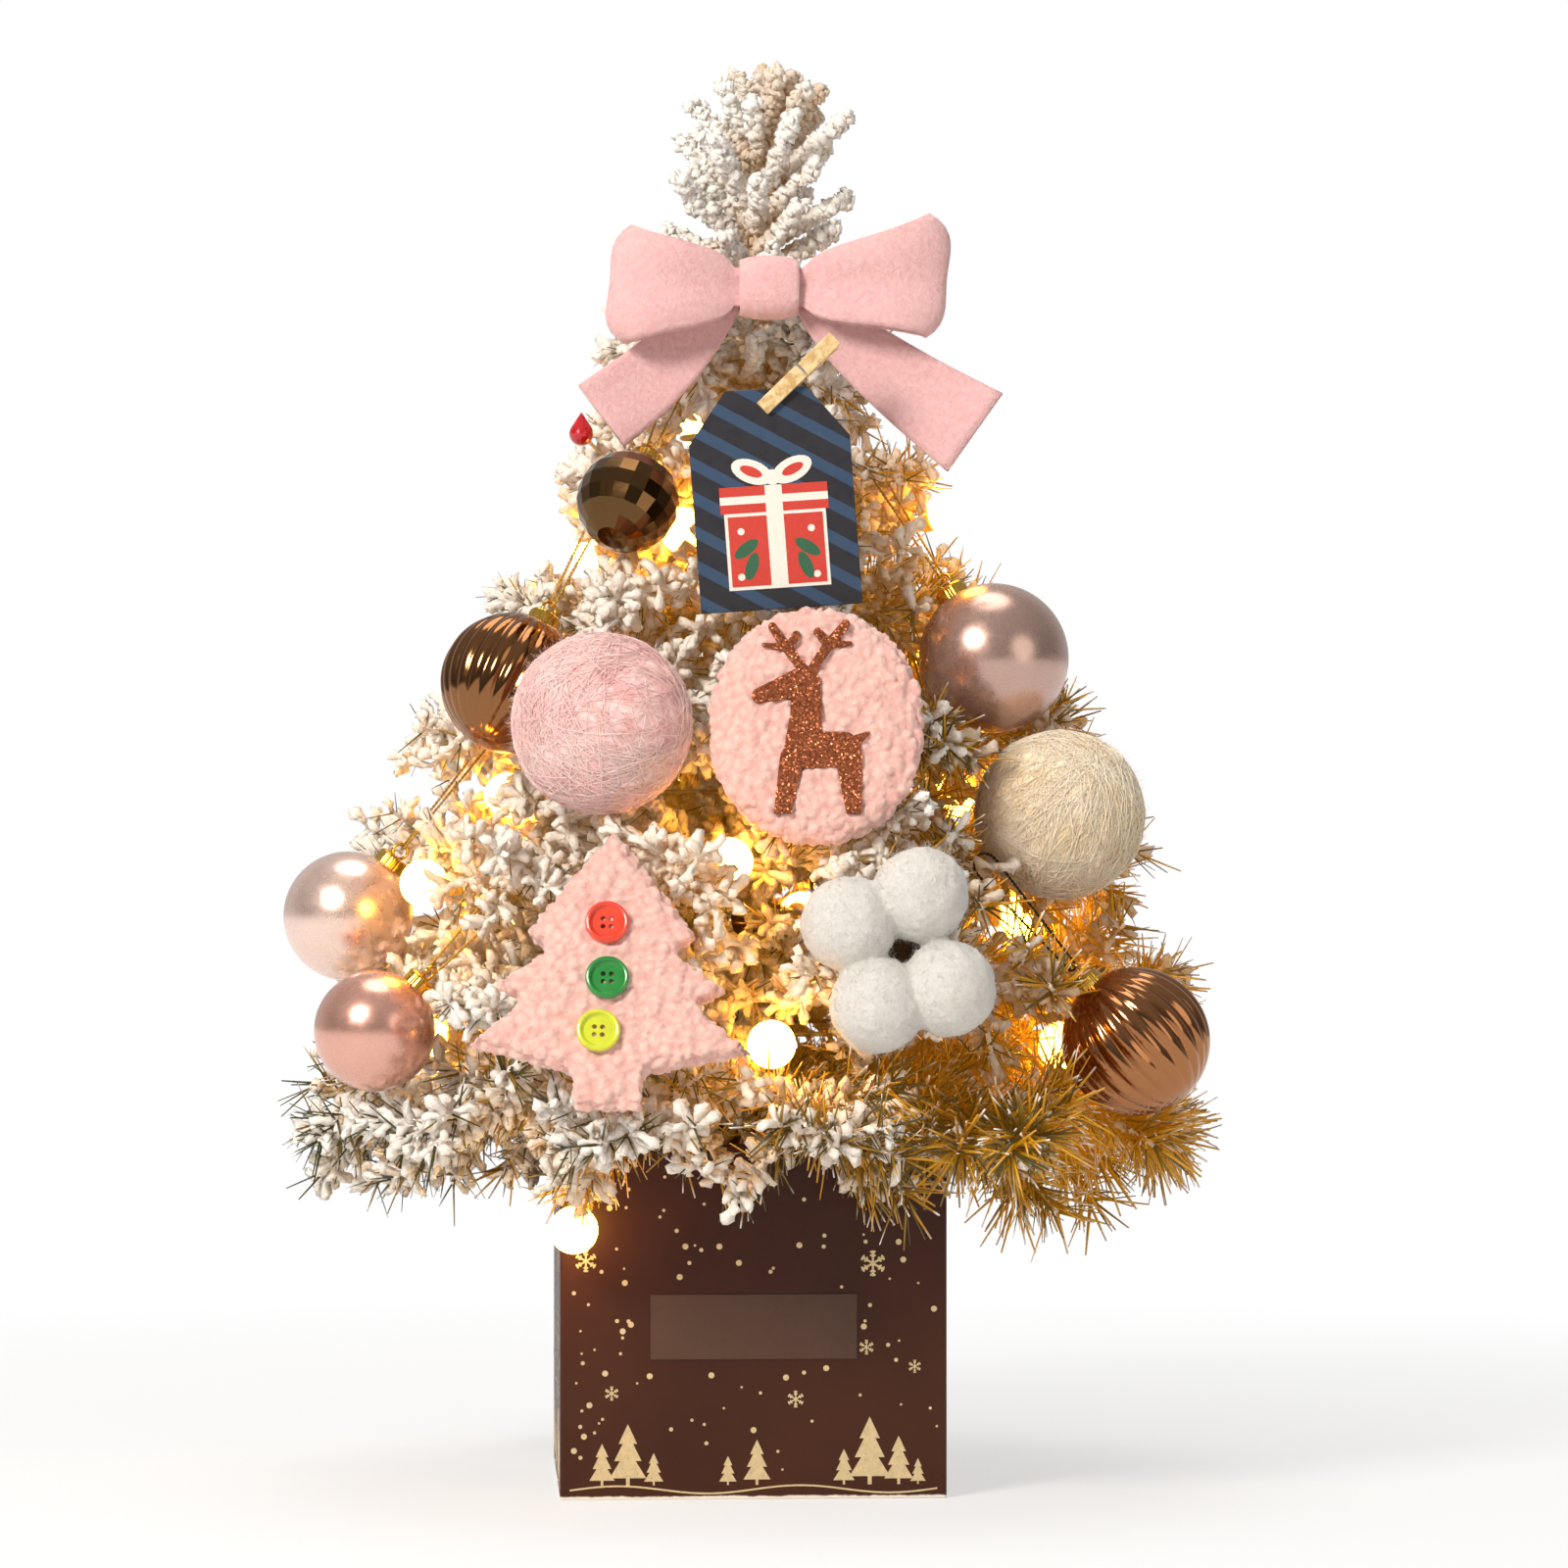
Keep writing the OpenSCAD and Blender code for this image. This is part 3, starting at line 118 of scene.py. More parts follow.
COLOURS = {
    "board": ("#3a1806", "Printed board of the box"),
    # The board's sheen colour is a painted sheen: lighter patches of the board at random
    "board_sheen": ("#46210c", "Cooler tone in the board's print"),
    "board_edge": ("#efe6da", "Bare edge of the board"),
    "label": ("#4f301b", "Plain panel on the front"),
    "foil": ("#ecd2a0", "Stamped foil of the print"),
    "cement": ("#a7a49c", "Ballast block"),
    "foam": ("#5c6a45", "Foam in the box"),
    "bark": ("#a07a55", "Wrapped trunk"),
    # Needle colours: the gold is partly the needles' own and partly painted light; the palest is
    # painted light
    "needle_dark": ("#2f3a14", "Dark needles"),
    "needle_gold": ("#d69c16", "Gold needles"),
    "needle_pale": ("#f4c534", "Palest needles"),
    "flock": ("#fdfbf6", "Flock on the needles"),
    "flock_shade": ("#f5efe4", "Hollows of the flock"),
    "wire": ("#d9bd78", "Wire of the light string"),
    "glow": ("#ffbf42", "Light of the globes"),
    "socket": ("#e0b04a", "Holder of a globe"),
    "case": ("#e8e6e0", "Battery case"),
    "cell": ("#4a4f57", "Jacket of a cell"),
    "steel": ("#b9b9b4", "Springs and contacts"),
    "switch": ("#33312e", "Slide switch"),
    "felt": ("#e5b9b7", "Felt of the bow"),
    "felt_dark": ("#dba3a2", "Shaded fibres of the felt"),
    "wood": ("#e6ca97", "Clothes-peg"),
    "wood_grain": ("#c39a5d", "Grain lines of the wood"),
    "card": ("#19161e", "Ground of the tag"),
    "stripe": ("#2a435f", "Stripes of the tag"),
    "print_red": ("#cc3a2b", "Red print on the tag"),
    "print_cream": ("#efe6da", "Cream print on the tag"),
    "print_green": ("#2c5f40", "Green print on the tag"),
    # The dark plush colour is painted shade in the plush's hollows
    "plush": ("#ecc4b8", "Plush pads"),
    "plush_dark": ("#e5a298", "Hollows of the plush"),
    "copper": ("#82381f", "Glitter of the reindeer"),
    "red": ("#e8482f", "Red button"),
    "green": ("#2a8a3a", "Green button"),
    "lime": ("#d6dc34", "Lime button"),
    "cotton": ("#dad7d1", "Cotton bolls"),
    "husk": ("#7a5230", "Dry husk of the cotton"),
    # The deep fibre colours are painted shade in the balls' hollows, golden on the white ball as if
    # lit by the globes
    "pink_fibre": ("#fde0da", "Fibre of the pink ball"),
    "pink_deep": ("#ecaeab", "Hollows of the pink ball"),
    "white_fibre": ("#fff3de", "Fibre of the white ball"),
    "white_deep": ("#ecd09c", "Hollows of the white ball"),
    "berry": ("#c2101c", "Red berry"),
    "tie": ("#d8c79c", "Tie wires"),
    "bronze": ("#6a4d2e", "Faceted bauble"),
    "brown_chrome": ("#94653f", "Ribbed bauble on the left"),
    "copper_chrome": ("#a8724a", "Ribbed bauble on the right"),
    "taupe": ("#c3a194", "Pearl bauble on the right"),
    "blush": ("#f3d4c6", "Pearl bauble on the left"),
    "rose": ("#e2ac9a", "Satin bauble"),
    "gold": ("#dcae4c", "Caps of the baubles"),
    "thread": ("#c9a24a", "Gold cord of the baubles"),
    "hook": ("#3b332b", "Dark wire of one bauble"),
    "floor": ("#ffffff", "Floor of the stage"),
    "needle_light": ("#f09c10", "Light caught by the needles"),
    # The amber of the flock is painted light and shade, on the right and deep inside
    "flock_amber": ("#bf8a1e", "Warm hollows of the flock"),
    "flock_glow": ("#f5b52e", "Flock beside a light"),
    "flock_light": ("#ffa81c", "Light caught by the flock"),
    "globe": ("#fff3dc", "Frosted globe"),
    "globe_warm": ("#ffe6bd", "Warm clouds in the frost"),
    "globe_pale": ("#fff6e6", "Pale clouds in the frost"),
    "socket_light": ("#e09a2a", "Light caught by a socket"),
    # The bright fleck colour of the glitter is partly a painted glint
    "copper_light": ("#c06f45", "Bright flecks of the glitter"),
}


class TreeSizes(bpy.types.PropertyGroup):
    """Sizes of the pieces, in metres."""
    __annotations__ = {name: length_prop(name, *entry) for name, entry in SIZES.items()}


class TreeColours(bpy.types.PropertyGroup):
    """Colours of the materials."""
    __annotations__ = {name: colour_prop(name, *entry) for name, entry in COLOURS.items()}


def size(name):
    """A size in millimetres."""
    return getattr(bpy.context.scene.tree_sizes, name) / MM


def ink(name):
    """A colour of the palette."""
    return tuple(getattr(bpy.context.scene.tree_colours, name))


def toned(colour, factor, lift=0.0):
    """A colour made darker or lighter."""
    return tuple(min(1, c * factor + lift) for c in colour)


# Places, in millimetres

TREE = "tree"
TIER_COUNTS = (12, 11, 12, 9, 8, 6, 5)
TIER_TURNS = (9, 26.2, 16, 31.7, 10, 30, 17.5)
LAST_TIER = len(TIER_COUNTS) - 1
# Height, reach and rise towards the end of a branch, in the lowest and the highest tier
TIER_HEIGHTS = (128, 348)
TIER_REACHES = (138, 36)
TIER_RISES = (-14, 12)
# How far side twigs pass a branch's end, and the length of the twigs that fan out there
TIER_SPREAD = (3, 10, 16, 14, 2, 2, 2)
TIER_FAN = (0, 18, 26, 22, 10, 9, 9)
LEADER_BASE = np.array((0, 0, 354.95))
LEADER_TIP = np.array((9, 0, 438.1))
LEADER_BOW = 6
KNOT = np.array((5, -52, 376))

# A bauble's centre, radius, tier and branch that carries it
BAUBLES = {
    "faceted": ((-39, -60, 309), 16, 6, 3),
    "ribbed_left": ((-75, -50, 253), 22, 5, 3),
    "ribbed_right": ((118, -68, 142), 23, 2, 10),
    "pearl_right": ((76, -43, 261), 23.5, 5, 5),
    "pearl_left": ((-126, -20, 180), 20.4, 3, 4),
    "satin": ((-117, -75, 146), 18.6, 2, 7),
}
# How far inside a branch's end the baubles hang
HOOK_INSET = 5
# A globe's centre and the gap between tiers that its lead starts in
FRONT_LIGHTS = (
    ((-102, -66, 191), 1), ((64, -25, 307), 4), ((-21, -38, 301), 4),
    ((-9, -91, 198), 1), ((3, -110, 143), 0), ((-56, -79, 85), 0),
)
BACK_LIGHT_TURNS = (
    (-15, 40, 120, 170), (5, 75, 150), (25, 105, 180), (12, 75, 145), (80, 165), (110,))
# How far the back lights stand from the string, in the lowest and the highest gap
BACK_LEADS = (44, 16)
# The string is wound at this share of the branches' reach
WIND_SHARE = 0.45


def lerp(a, b, t):
    return a + (b - a) * t


def unit(v):
    v = np.asarray(v, float)
    return v / np.linalg.norm(v)


def polar(r, az, z):
    return np.array((r * math.cos(math.radians(az)), r * math.sin(math.radians(az)), z))


def tier_z(i):
    return lerp(*TIER_HEIGHTS, i / LAST_TIER)


def tier_reach(i):
    return lerp(*TIER_REACHES, i / LAST_TIER)


def stem_z(i, r):
    return tier_z(i) + lerp(*TIER_RISES, i / LAST_TIER) * min(1, r / tier_reach(i)) ** 2


def branch_point(i, j, r):
    return polar(r, TIER_TURNS[i] + j * 360 / TIER_COUNTS[i], stem_z(i, r))


def leader_point(t):
    return lerp(LEADER_BASE, LEADER_TIP, t) - np.array((LEADER_BOW * t * (1 - t), 0, 0))


def facing(at, lean, turn):
    """Frame of a flat ornament: own Z to the viewer and Y up, tipped back and turned."""
    return (Matrix.Translation(at) @ Matrix.Rotation(math.radians(90 - lean), 4, "X")
            @ Matrix.Rotation(math.radians(turn), 4, "Z"))


TAG = facing((5, -84, 309), 5, 4)


def hung(bauble):
    """Frame under a bauble's hook, Z up its cord and X across its loop, and the cord's length."""
    at, _, tier, branch = BAUBLES[bauble]
    hook = branch_point(tier, branch, tier_reach(tier) - HOOK_INSET)
    up = unit(hook - np.array(at))
    x = unit(np.cross(branch_point(tier, branch, tier_reach(tier)) - hook, up))
    y = np.cross(up, x)
    rows = [(x[k], y[k], up[k], hook[k]) for k in range(3)]
    return Matrix((*rows, (0, 0, 0, 1))), float(np.linalg.norm(hook - np.array(at)))


def wind_r(g):
    return WIND_SHARE * (tier_reach(g) + tier_reach(g + 1)) / 2


def gap_z(g, r):
    return (stem_z(g, r) + stem_z(g + 1, r)) / 2


def all_lights():
    """Every light as its globe's centre and the gap that its lead starts in."""
    lights = [(np.array(at, float), g) for at, g in FRONT_LIGHTS]
    for g, turns in enumerate(BACK_LIGHT_TURNS):
        r = wind_r(g) + lerp(*BACK_LEADS, g / (LAST_TIER - 1))
        lights += [(polar(r, az, gap_z(g, r)), g) for az in turns]
    return lights


def lead_start(at, g):
    return polar(wind_r(g), math.degrees(math.atan2(at[1], at[0])), gap_z(g, wind_r(g)))


def through(matrix, points):
    """Points carried through a frame."""
    m = np.array(matrix)
    return np.asarray(points, float) @ m[:3, :3].T + m[:3, 3]


# Meshes

def linked(name, data):
    """A new object in the scene."""
    obj = bpy.data.objects.new(name, data)
    bpy.context.scene.collection.objects.link(obj)
    return obj


def reworked(mesh, job):
    """A mesh after a bmesh job."""
    work = bmesh.new()
    work.from_mesh(mesh)
    job(work)
    work.to_mesh(mesh)
    work.free()
    return mesh


def dress(mesh, material):
    mesh.materials.clear()
    mesh.materials.append(material)


def shown(name, mesh, material, smooth=True):
    """A new object at the origin for a finished mesh, its faces turned outward."""
    reworked(mesh, lambda work: bmesh.ops.recalc_face_normals(work, faces=work.faces))
    dress(mesh, material)
    mesh.polygons.foreach_set("use_smooth", [smooth] * len(mesh.polygons))
    return linked(name, mesh)


def mesh_of(name, points, faces=(), edges=()):
    mesh = bpy.data.meshes.new(name)
    mesh.from_pydata((np.asarray(points, float) * MM).tolist(), list(edges), list(faces))
    return mesh


def made(name, shape, material, smooth=True):
    """A new object for a shape, its points and faces."""
    return shown(name, mesh_of(name, *shape), material, smooth)


def seat(obj, body=TREE, replaces=()):
    """Lets a piece ride on its body, and hides the nodes that it stands for."""
    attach(obj, body)
    if replaces:
        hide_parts(*replaces)
    return obj


def coat(material, *nodes):
    """Gives CAD nodes that stay a material."""
    for node in nodes:
        dress(NODES[node].data, material)


def drop(*objs):
    for obj in objs:
        bpy.data.objects.remove(obj)


def evaluated(obj):
    """The mesh of an object with its modifiers applied."""
    graph = bpy.context.evaluated_depsgraph_get()
    return bpy.data.meshes.new_from_object(
        obj.evaluated_get(graph), preserve_all_data_layers=True, depsgraph=graph)


def coords(mesh):
    flat = np.empty(len(mesh.vertices) * 3)
    mesh.vertices.foreach_get("co", flat)
    return flat.reshape(-1, 3)


def normals(mesh):
    flat = np.empty(len(mesh.vertices) * 3)
    mesh.vertex_normals.foreach_get("vector", flat)
    return flat.reshape(-1, 3)


def set_coords(mesh, points):
    mesh.vertices.foreach_set("co", np.asarray(points, float).ravel())
    mesh.update()


def store(mesh, label, values, kind="FLOAT"):
    """Keeps values on a mesh's points."""
    layer = mesh.attributes.new(label, kind, "POINT")
    layer.data.foreach_set("value", np.asarray(values, np.float32).ravel())


def strip(mesh, *labels):
    """Takes values off a mesh."""
    for label in labels:
        if label in mesh.attributes:
            mesh.attributes.remove(mesh.attributes[label])


def loft(rings, closed=False):
    """Points and faces of a skin over rings of equal counts, capped if it isn't closed."""
    n = len(rings[0])
    points = np.concatenate([np.asarray(r, float) for r in rings])
    count = len(rings)
    faces = []
    for i in range(count if closed else count - 1):
        a, b = i * n, (i + 1) % count * n
        faces += [(a + k, a + (k + 1) % n, b + (k + 1) % n, b + k) for k in range(n)]
    if not closed:
        faces += [tuple(range(n))[::-1], tuple(range((count - 1) * n, count * n))]
    return points, faces


def lathe(profile, sides, wave=None):
    """Rings about Z for a profile of (radius, height)."""
    turn = np.linspace(0, math.tau, sides, endpoint=False)
    rings = []
    for r, z in profile:
        radius = r if wave is None else r * wave(turn, z)
        rings.append(np.stack((radius * np.cos(turn), radius * np.sin(turn), np.full(sides, z)), 1))
    return rings


def merged(parts):
    """Several (points, faces) as one."""
    points, faces, start = [], [], 0
    for some, theirs in parts:
        points.append(np.asarray(some, float))
        faces += [tuple(k + start for k in f) for f in theirs]
        start += len(some)
    return np.concatenate(points), faces


def thick_sheet(grid, thickness, wrapped=False):
    """Closed skin of a sheet given by its middle surface, a grid of points."""
    grid = np.asarray(grid, float)
    du = np.gradient(grid, axis=0)
    if wrapped:
        du = np.roll(grid, -1, 0) - np.roll(grid, 1, 0)
    dv = np.gradient(grid, axis=1)
    normal = np.cross(du, dv)
    normal /= np.linalg.norm(normal, axis=2, keepdims=True)
    half = thickness / 2
    soft = 0.35 * half
    along = dv / np.linalg.norm(dv, axis=2, keepdims=True)
    rings = []
    for row, nrm, out in zip(grid, normal, along):
        top, low = row + nrm * half, row - nrm * half
        for edge in (top, low):
            edge[0] += out[0] * soft
            edge[-1] -= out[-1] * soft
        rings.append(np.concatenate((top, row[-1:], low[::-1], row[:1])))
    return loft(rings, closed=wrapped)


def modified(mesh, kind, **settings):
    """A mesh after one modifier."""
    obj = linked("raw", mesh)
    mod = obj.modifiers.new(kind, kind)
    for name, value in settings.items():
        setattr(mod, name, value)
    result = evaluated(obj)
    drop(obj)
    return result


def node_mesh(node):
    """A copy of a CAD node's mesh with its doubled corners merged."""
    return reworked(NODES[node].data.copy(), lambda work: bmesh.ops.remove_doubles(
        work, verts=work.verts, dist=1e-6))


def bevelled(node, width):
    """A node's shape with its edges rounded."""
    mesh = reworked(node_mesh(node), lambda work: bmesh.ops.dissolve_limit(
        work, angle_limit=math.radians(2), verts=work.verts, edges=work.edges))
    return modified(mesh, "BEVEL", width=width * MM, segments=2, limit_method="ANGLE",
                    angle_limit=math.radians(35))


def remeshed(node, voxel, inset=0.0):
    """An even quad skin of a node's shape, drawn in by inset."""
    mesh = modified(node_mesh(node), "REMESH", mode="VOXEL", voxel_size=voxel * MM)
    if inset:
        set_coords(mesh, coords(mesh) - normals(mesh) * inset * MM)
    return mesh


# Steps of the cloth simulation
PUFF_FRAMES = 20


def stuffed(mesh, pressure, cap):
    """A skin blown up by cloth simulation, no point moving further than cap."""
    obj = linked("raw", mesh)
    rest = coords(mesh)
    cloth = obj.modifiers.new("Cloth", "CLOTH")
    cloth.settings.use_pressure = True
    cloth.settings.uniform_pressure_force = pressure
    cloth.settings.effector_weights.gravity = 0
    cloth.settings.mass = 0.15
    cloth.point_cache.frame_start = 1
    cloth.point_cache.frame_end = PUFF_FRAMES
    scene = bpy.context.scene
    for step in range(1, PUFF_FRAMES + 1):
        scene.frame_set(step)
    result = evaluated(obj)
    scene.frame_set(1)
    drop(obj)
    move = coords(result) - rest
    far = np.linalg.norm(move, axis=1, keepdims=True)
    set_coords(result, rest + move * np.minimum(1, cap * MM / np.maximum(far, 1e-9)))
    return result


def pushed(mesh, height):
    """Moves each point along its normal by height(point) in millimetres."""
    points, out = coords(mesh), normals(mesh)
    rise = np.array([height(Vector(p / MM), Vector(n)) for p, n in zip(points, out)])
    set_coords(mesh, points + out * rise[:, None] * MM)
    return mesh


# Node trees

def socket(sockets, name):
    """The socket in use of that name, or the one at that number."""
    if isinstance(name, int):
        return sockets[name]
    return next(s for s in sockets if s.name == name and s.enabled)


def feed(tree, into, value):
    """Gives an input a value or another node's output."""
    if isinstance(value, bpy.types.NodeSocket):
        tree.links.new(value, into)
    else:
        into.default_value = value


def add(tree, kind, inputs=None, **settings):
    """A new node with its settings and inputs, which are values or other nodes' outputs."""
    node = tree.nodes.new(kind)
    for name, value in settings.items():
        setattr(node, name, value)
    for name, value in (inputs or {}).items():
        feed(tree, socket(node.inputs, name), value)
    return node


def put(tree, kind, inputs=None, **settings):
    """The first output of a new node."""
    return add(tree, kind, inputs, **settings).outputs[0]


def calc(tree, operation, *values):
    """A number worked out from others."""
    return put(tree, "ShaderNodeMath", dict(enumerate(values)), operation=operation)


class Finish:
    """A procedural material: a Principled shader and the nodes that feed it."""

    def __init__(self, name, colour, **shader):
        self.colour = colour
        self.material = bpy.data.materials.new(name)
        self.material.use_nodes = True
        self.tree = self.material.node_tree
        self.shader = self.tree.nodes["Principled BSDF"]
        self.set("Base Color", (*colour, 1))
        for key, value in shader.items():
            self.set(key.replace("_", " ").title().replace("Ior", "IOR"), value)
        self.place = add(self.tree, "ShaderNodeTexCoord").outputs["Object"]

    def set(self, name, value):
        feed(self.tree, self.shader.inputs[name], value)
        return self

    def stretched(self, scale):
        return put(self.tree, "ShaderNodeMapping", {"Vector": self.place, "Scale": scale})

    def noise(self, scale, detail=3, rough=0.55, at=None, twist=0.0):
        return put(self.tree, "ShaderNodeTexNoise", {
            "Vector": at or self.place, "Scale": scale, "Detail": detail, "Roughness": rough,
            "Distortion": twist})

    def cells(self, scale, output="Distance"):
        inputs = {"Vector": self.place, "Scale": scale}
        return add(self.tree, "ShaderNodeTexVoronoi", inputs).outputs[output]

    def spread(self, value, low, high, to_low=0.0, to_high=1.0):
        return put(self.tree, "ShaderNodeMapRange", {
            "Value": value, "From Min": low, "From Max": high, "To Min": to_low, "To Max": to_high})

    def math(self, operation, a, b=0.0):
        return calc(self.tree, operation, a, b)

    def mix(self, share, a, b):
        a, b = ((*c, 1) if isinstance(c, tuple) else c for c in (a, b))
        return add(self.tree, "ShaderNodeMix", {"Factor": share, "A": a, "B": b},
                   data_type="RGBA").outputs[2]

    def own(self, name):
        """A value stored on the mesh."""
        return add(self.tree, "ShaderNodeAttribute", attribute_name=name).outputs["Fac"]

    def paint(self, share, a, b):
        """Colours the surface with a share of b over a."""
        return self.set("Base Color", self.mix(share, a, b))

    def mottle(self, value, low, high, dark):
        """Darkens the colour where value is low."""
        return self.paint(self.spread(value, low, high), toned(self.colour, dark), self.colour)

    def gloss(self, scale, low, high, detail=3):
        """Uneven roughness."""
        return self.set("Roughness", self.spread(self.noise(scale, detail), 0.3, 0.7, low, high))

    def light(self, colour, strength):
        """Light that the surface gives."""
        return self.set("Emission Color", (*colour, 1)).set("Emission Strength", strength)

    def bump(self, height, strength, depth):
        """Relief of that depth in millimetres."""
        return self.set("Normal", put(self.tree, "ShaderNodeBump", {
            "Height": height, "Strength": strength, "Distance": depth * MM}))


def plain(name, colour, roughness=0.5, grain=900, depth=0.05, tint=0.12, **shader):
    """A moulded, painted or cast surface: slight mottling, uneven gloss and a fine relief."""
    f = Finish(name, colour, **shader)
    speck = f.noise(grain, 4)
    f.mottle(speck, 0.3, 0.7, 1 - 2 * tint)
    f.gloss(grain * 0.3, roughness * 0.85, min(1, roughness * 1.15))
    return f.bump(speck, 0.5, depth).material


# Geometry node trees

def new_group(name, sockets):
    """An empty geometry tree with named inputs and one geometry output."""
    tree = bpy.data.node_groups.new(name, "GeometryNodeTree")
    for label, kind in sockets:
        tree.interface.new_socket(label, in_out="INPUT", socket_type="NodeSocket" + kind)
    tree.interface.new_socket("Geometry", in_out="OUTPUT", socket_type="NodeSocketGeometry")
    return tree, add(tree, "NodeGroupInput").outputs, add(tree, "NodeGroupOutput")


def close_group(tree, output, geometry, material):
    """Ends a tree: real geometry, smooth, with its material."""
    real = put(tree, "GeometryNodeRealizeInstances", {"Geometry": geometry})
    smooth = put(tree, "GeometryNodeSetShadeSmooth", {"Geometry": real})
    done = put(tree, "GeometryNodeSetMaterial", {"Geometry": smooth, "Material": material})
    tree.links.new(done, output.inputs[0])


def grown(name, source, tree, **values):
    """The plain mesh that a geometry tree makes from a source object, which goes."""
    mod = source.modifiers.new("Growth", "NODES")
    mod.node_group = tree
    for item in tree.interface.items_tree:
        key = item.name.replace(" ", "_").lower()
        if item.in_out == "INPUT" and key in values:
            mod[item.identifier] = values[key]
    mesh = evaluated(source)
    source.modifiers.remove(mod)
    drop(source)
    mesh.name = name
    return mesh


def chance(tree, low, high, seed, kind="FLOAT"):
    """A random value for each point."""
    inputs = {"Min": low, "Max": high, "Seed": seed}
    return socket(add(tree, "FunctionNodeRandomValue", inputs, data_type=kind).outputs, "Value")


def named(tree, label, kind="FLOAT"):
    """A value stored on the points."""
    node = add(tree, "GeometryNodeInputNamedAttribute", {"Name": label}, data_type=kind)
    return socket(node.outputs, "Attribute")


def turned(tree, rotation, axis, angle):
    """A rotation turned further about its own axis."""
    by = put(tree, "FunctionNodeAxisAngleToRotation", {"Axis": axis, "Angle": angle})
    return put(tree, "FunctionNodeRotateRotation", {"Rotation": rotation, "Rotate By": by},
               rotation_space="LOCAL")


def piped(tree, curve, sides, radius):
    """A closed tube along a curve."""
    ring = put(tree, "GeometryNodeCurvePrimitiveCircle", {"Resolution": sides, "Radius": radius})
    return put(tree, "GeometryNodeCurveToMesh", {
        "Curve": curve, "Profile Curve": ring, "Fill Caps": True})


# Different needles in a set, and sides of a twig
SHAPE_COUNT, STEM_SIDES = 6, 5


def needle_group():
    """Twig lines become stems and spun needles, flocked or bare by the snow on the line."""
    tree, given, output = new_group("Needled twigs", (
        ("Geometry", "Geometry"), ("Shapes", "Collection"), ("Keep Clear", "Object"),
        ("Spacing", "Float"), ("Reach", "Float"), ("Shrink", "Float"), ("Lean Low", "Float"),
        ("Lean High", "Float"), ("Flocked", "Bool"), ("Snow Floor", "Float"), ("Snow Rise", "Float"),
        ("Stem", "Float"), ("Seed", "Int"), ("Material", "Material")))

    def drawn(low, high, shift, kind="FLOAT"):
        return chance(tree, low, high, calc(tree, "ADD", given["Seed"], shift), kind)

    def stored(geometry, label, value, kind="FLOAT"):
        return put(tree, "GeometryNodeStoreNamedAttribute", {
            "Geometry": geometry, "Name": label, "Value": value}, data_type=kind, domain="POINT")

    curve = put(tree, "GeometryNodeMeshToCurve", {"Mesh": given["Geometry"]})
    dots = add(tree, "GeometryNodeCurveToPoints", {"Curve": curve, "Length": given["Spacing"]},
               mode="LENGTH").outputs
    spin = turned(tree, dots["Rotation"], (0, 0, 1), drawn(0.0, math.tau, 1))
    aimed = turned(tree, spin, (1, 0, 0), drawn(given["Lean Low"], given["Lean High"], 2))
    points = stored(dots["Points"], "turn", aimed, "QUATERNION")
    points = stored(points, "chance", drawn(0.0, 1.0, 3))
    points = stored(points, "girth", drawn(0.75, 1.15, 4))
    turn, snow = named(tree, "turn", "QUATERNION"), named(tree, "snow")
    aim = put(tree, "FunctionNodeRotateVector", {"Vector": (0, 0, 1), "Rotation": turn})
    upward = add(tree, "ShaderNodeSeparateXYZ", {0: aim}).outputs["Z"]
    rise = calc(tree, "MULTIPLY_ADD", upward, given["Snow Rise"], given["Snow Floor"])
    limit = calc(tree, "MULTIPLY", rise, snow)
    snowy = put(tree, "FunctionNodeCompare", {"A": named(tree, "chance"), "B": limit},
                data_type="FLOAT", operation="LESS_THAN")
    other = put(tree, "FunctionNodeBooleanMath", {0: snowy, 1: given["Flocked"]}, operation="XOR")
    fall = calc(tree, "MULTIPLY_ADD", snow, given["Shrink"], 1.0)
    scale = calc(tree, "MULTIPLY", fall, named(tree, "girth"))
    target = add(tree, "GeometryNodeObjectInfo", {"Object": given["Keep Clear"]}).outputs
    ray = add(tree, "GeometryNodeRaycast", {
        "Target Geometry": target["Geometry"], "Ray Direction": aim,
        "Ray Length": calc(tree, "MULTIPLY", given["Reach"], scale)}).outputs
    gone = put(tree, "FunctionNodeBooleanMath", {0: other, 1: ray["Is Hit"]}, operation="OR")
    points = put(tree, "GeometryNodeDeleteGeometry", {"Geometry": points, "Selection": gone},
                 domain="POINT")
    shapes = put(tree, "GeometryNodeCollectionInfo", {
        "Collection": given["Shapes"], "Separate Children": True, "Reset Children": True})
    many = put(tree, "GeometryNodeInstanceOnPoints", {
        "Points": points, "Instance": shapes, "Pick Instance": True,
        "Instance Index": drawn(0, SHAPE_COUNT - 1, 5, "INT"), "Rotation": turn, "Scale": scale})
    both = add(tree, "GeometryNodeJoinGeometry", {"Geometry": many})
    tree.links.new(piped(tree, curve, STEM_SIDES, given["Stem"]), both.inputs[0])
    kept = put(tree, "GeometryNodeSwitch", {
        "Switch": given["Flocked"], "False": both.outputs[0], "True": many}, input_type="GEOMETRY")
    close_group(tree, output, kept, given["Material"])
    return tree


def tube_group():
    """Lines become round tubes."""
    tree, given, output = new_group("Tubes along lines", (
        ("Geometry", "Geometry"), ("Radius", "Float"), ("Sides", "Int"), ("Material", "Material")))
    curve = put(tree, "GeometryNodeMeshToCurve", {"Mesh": given["Geometry"]})
    close_group(tree, output, piped(tree, curve, given["Sides"], given["Radius"]), given["Material"])
    return tree


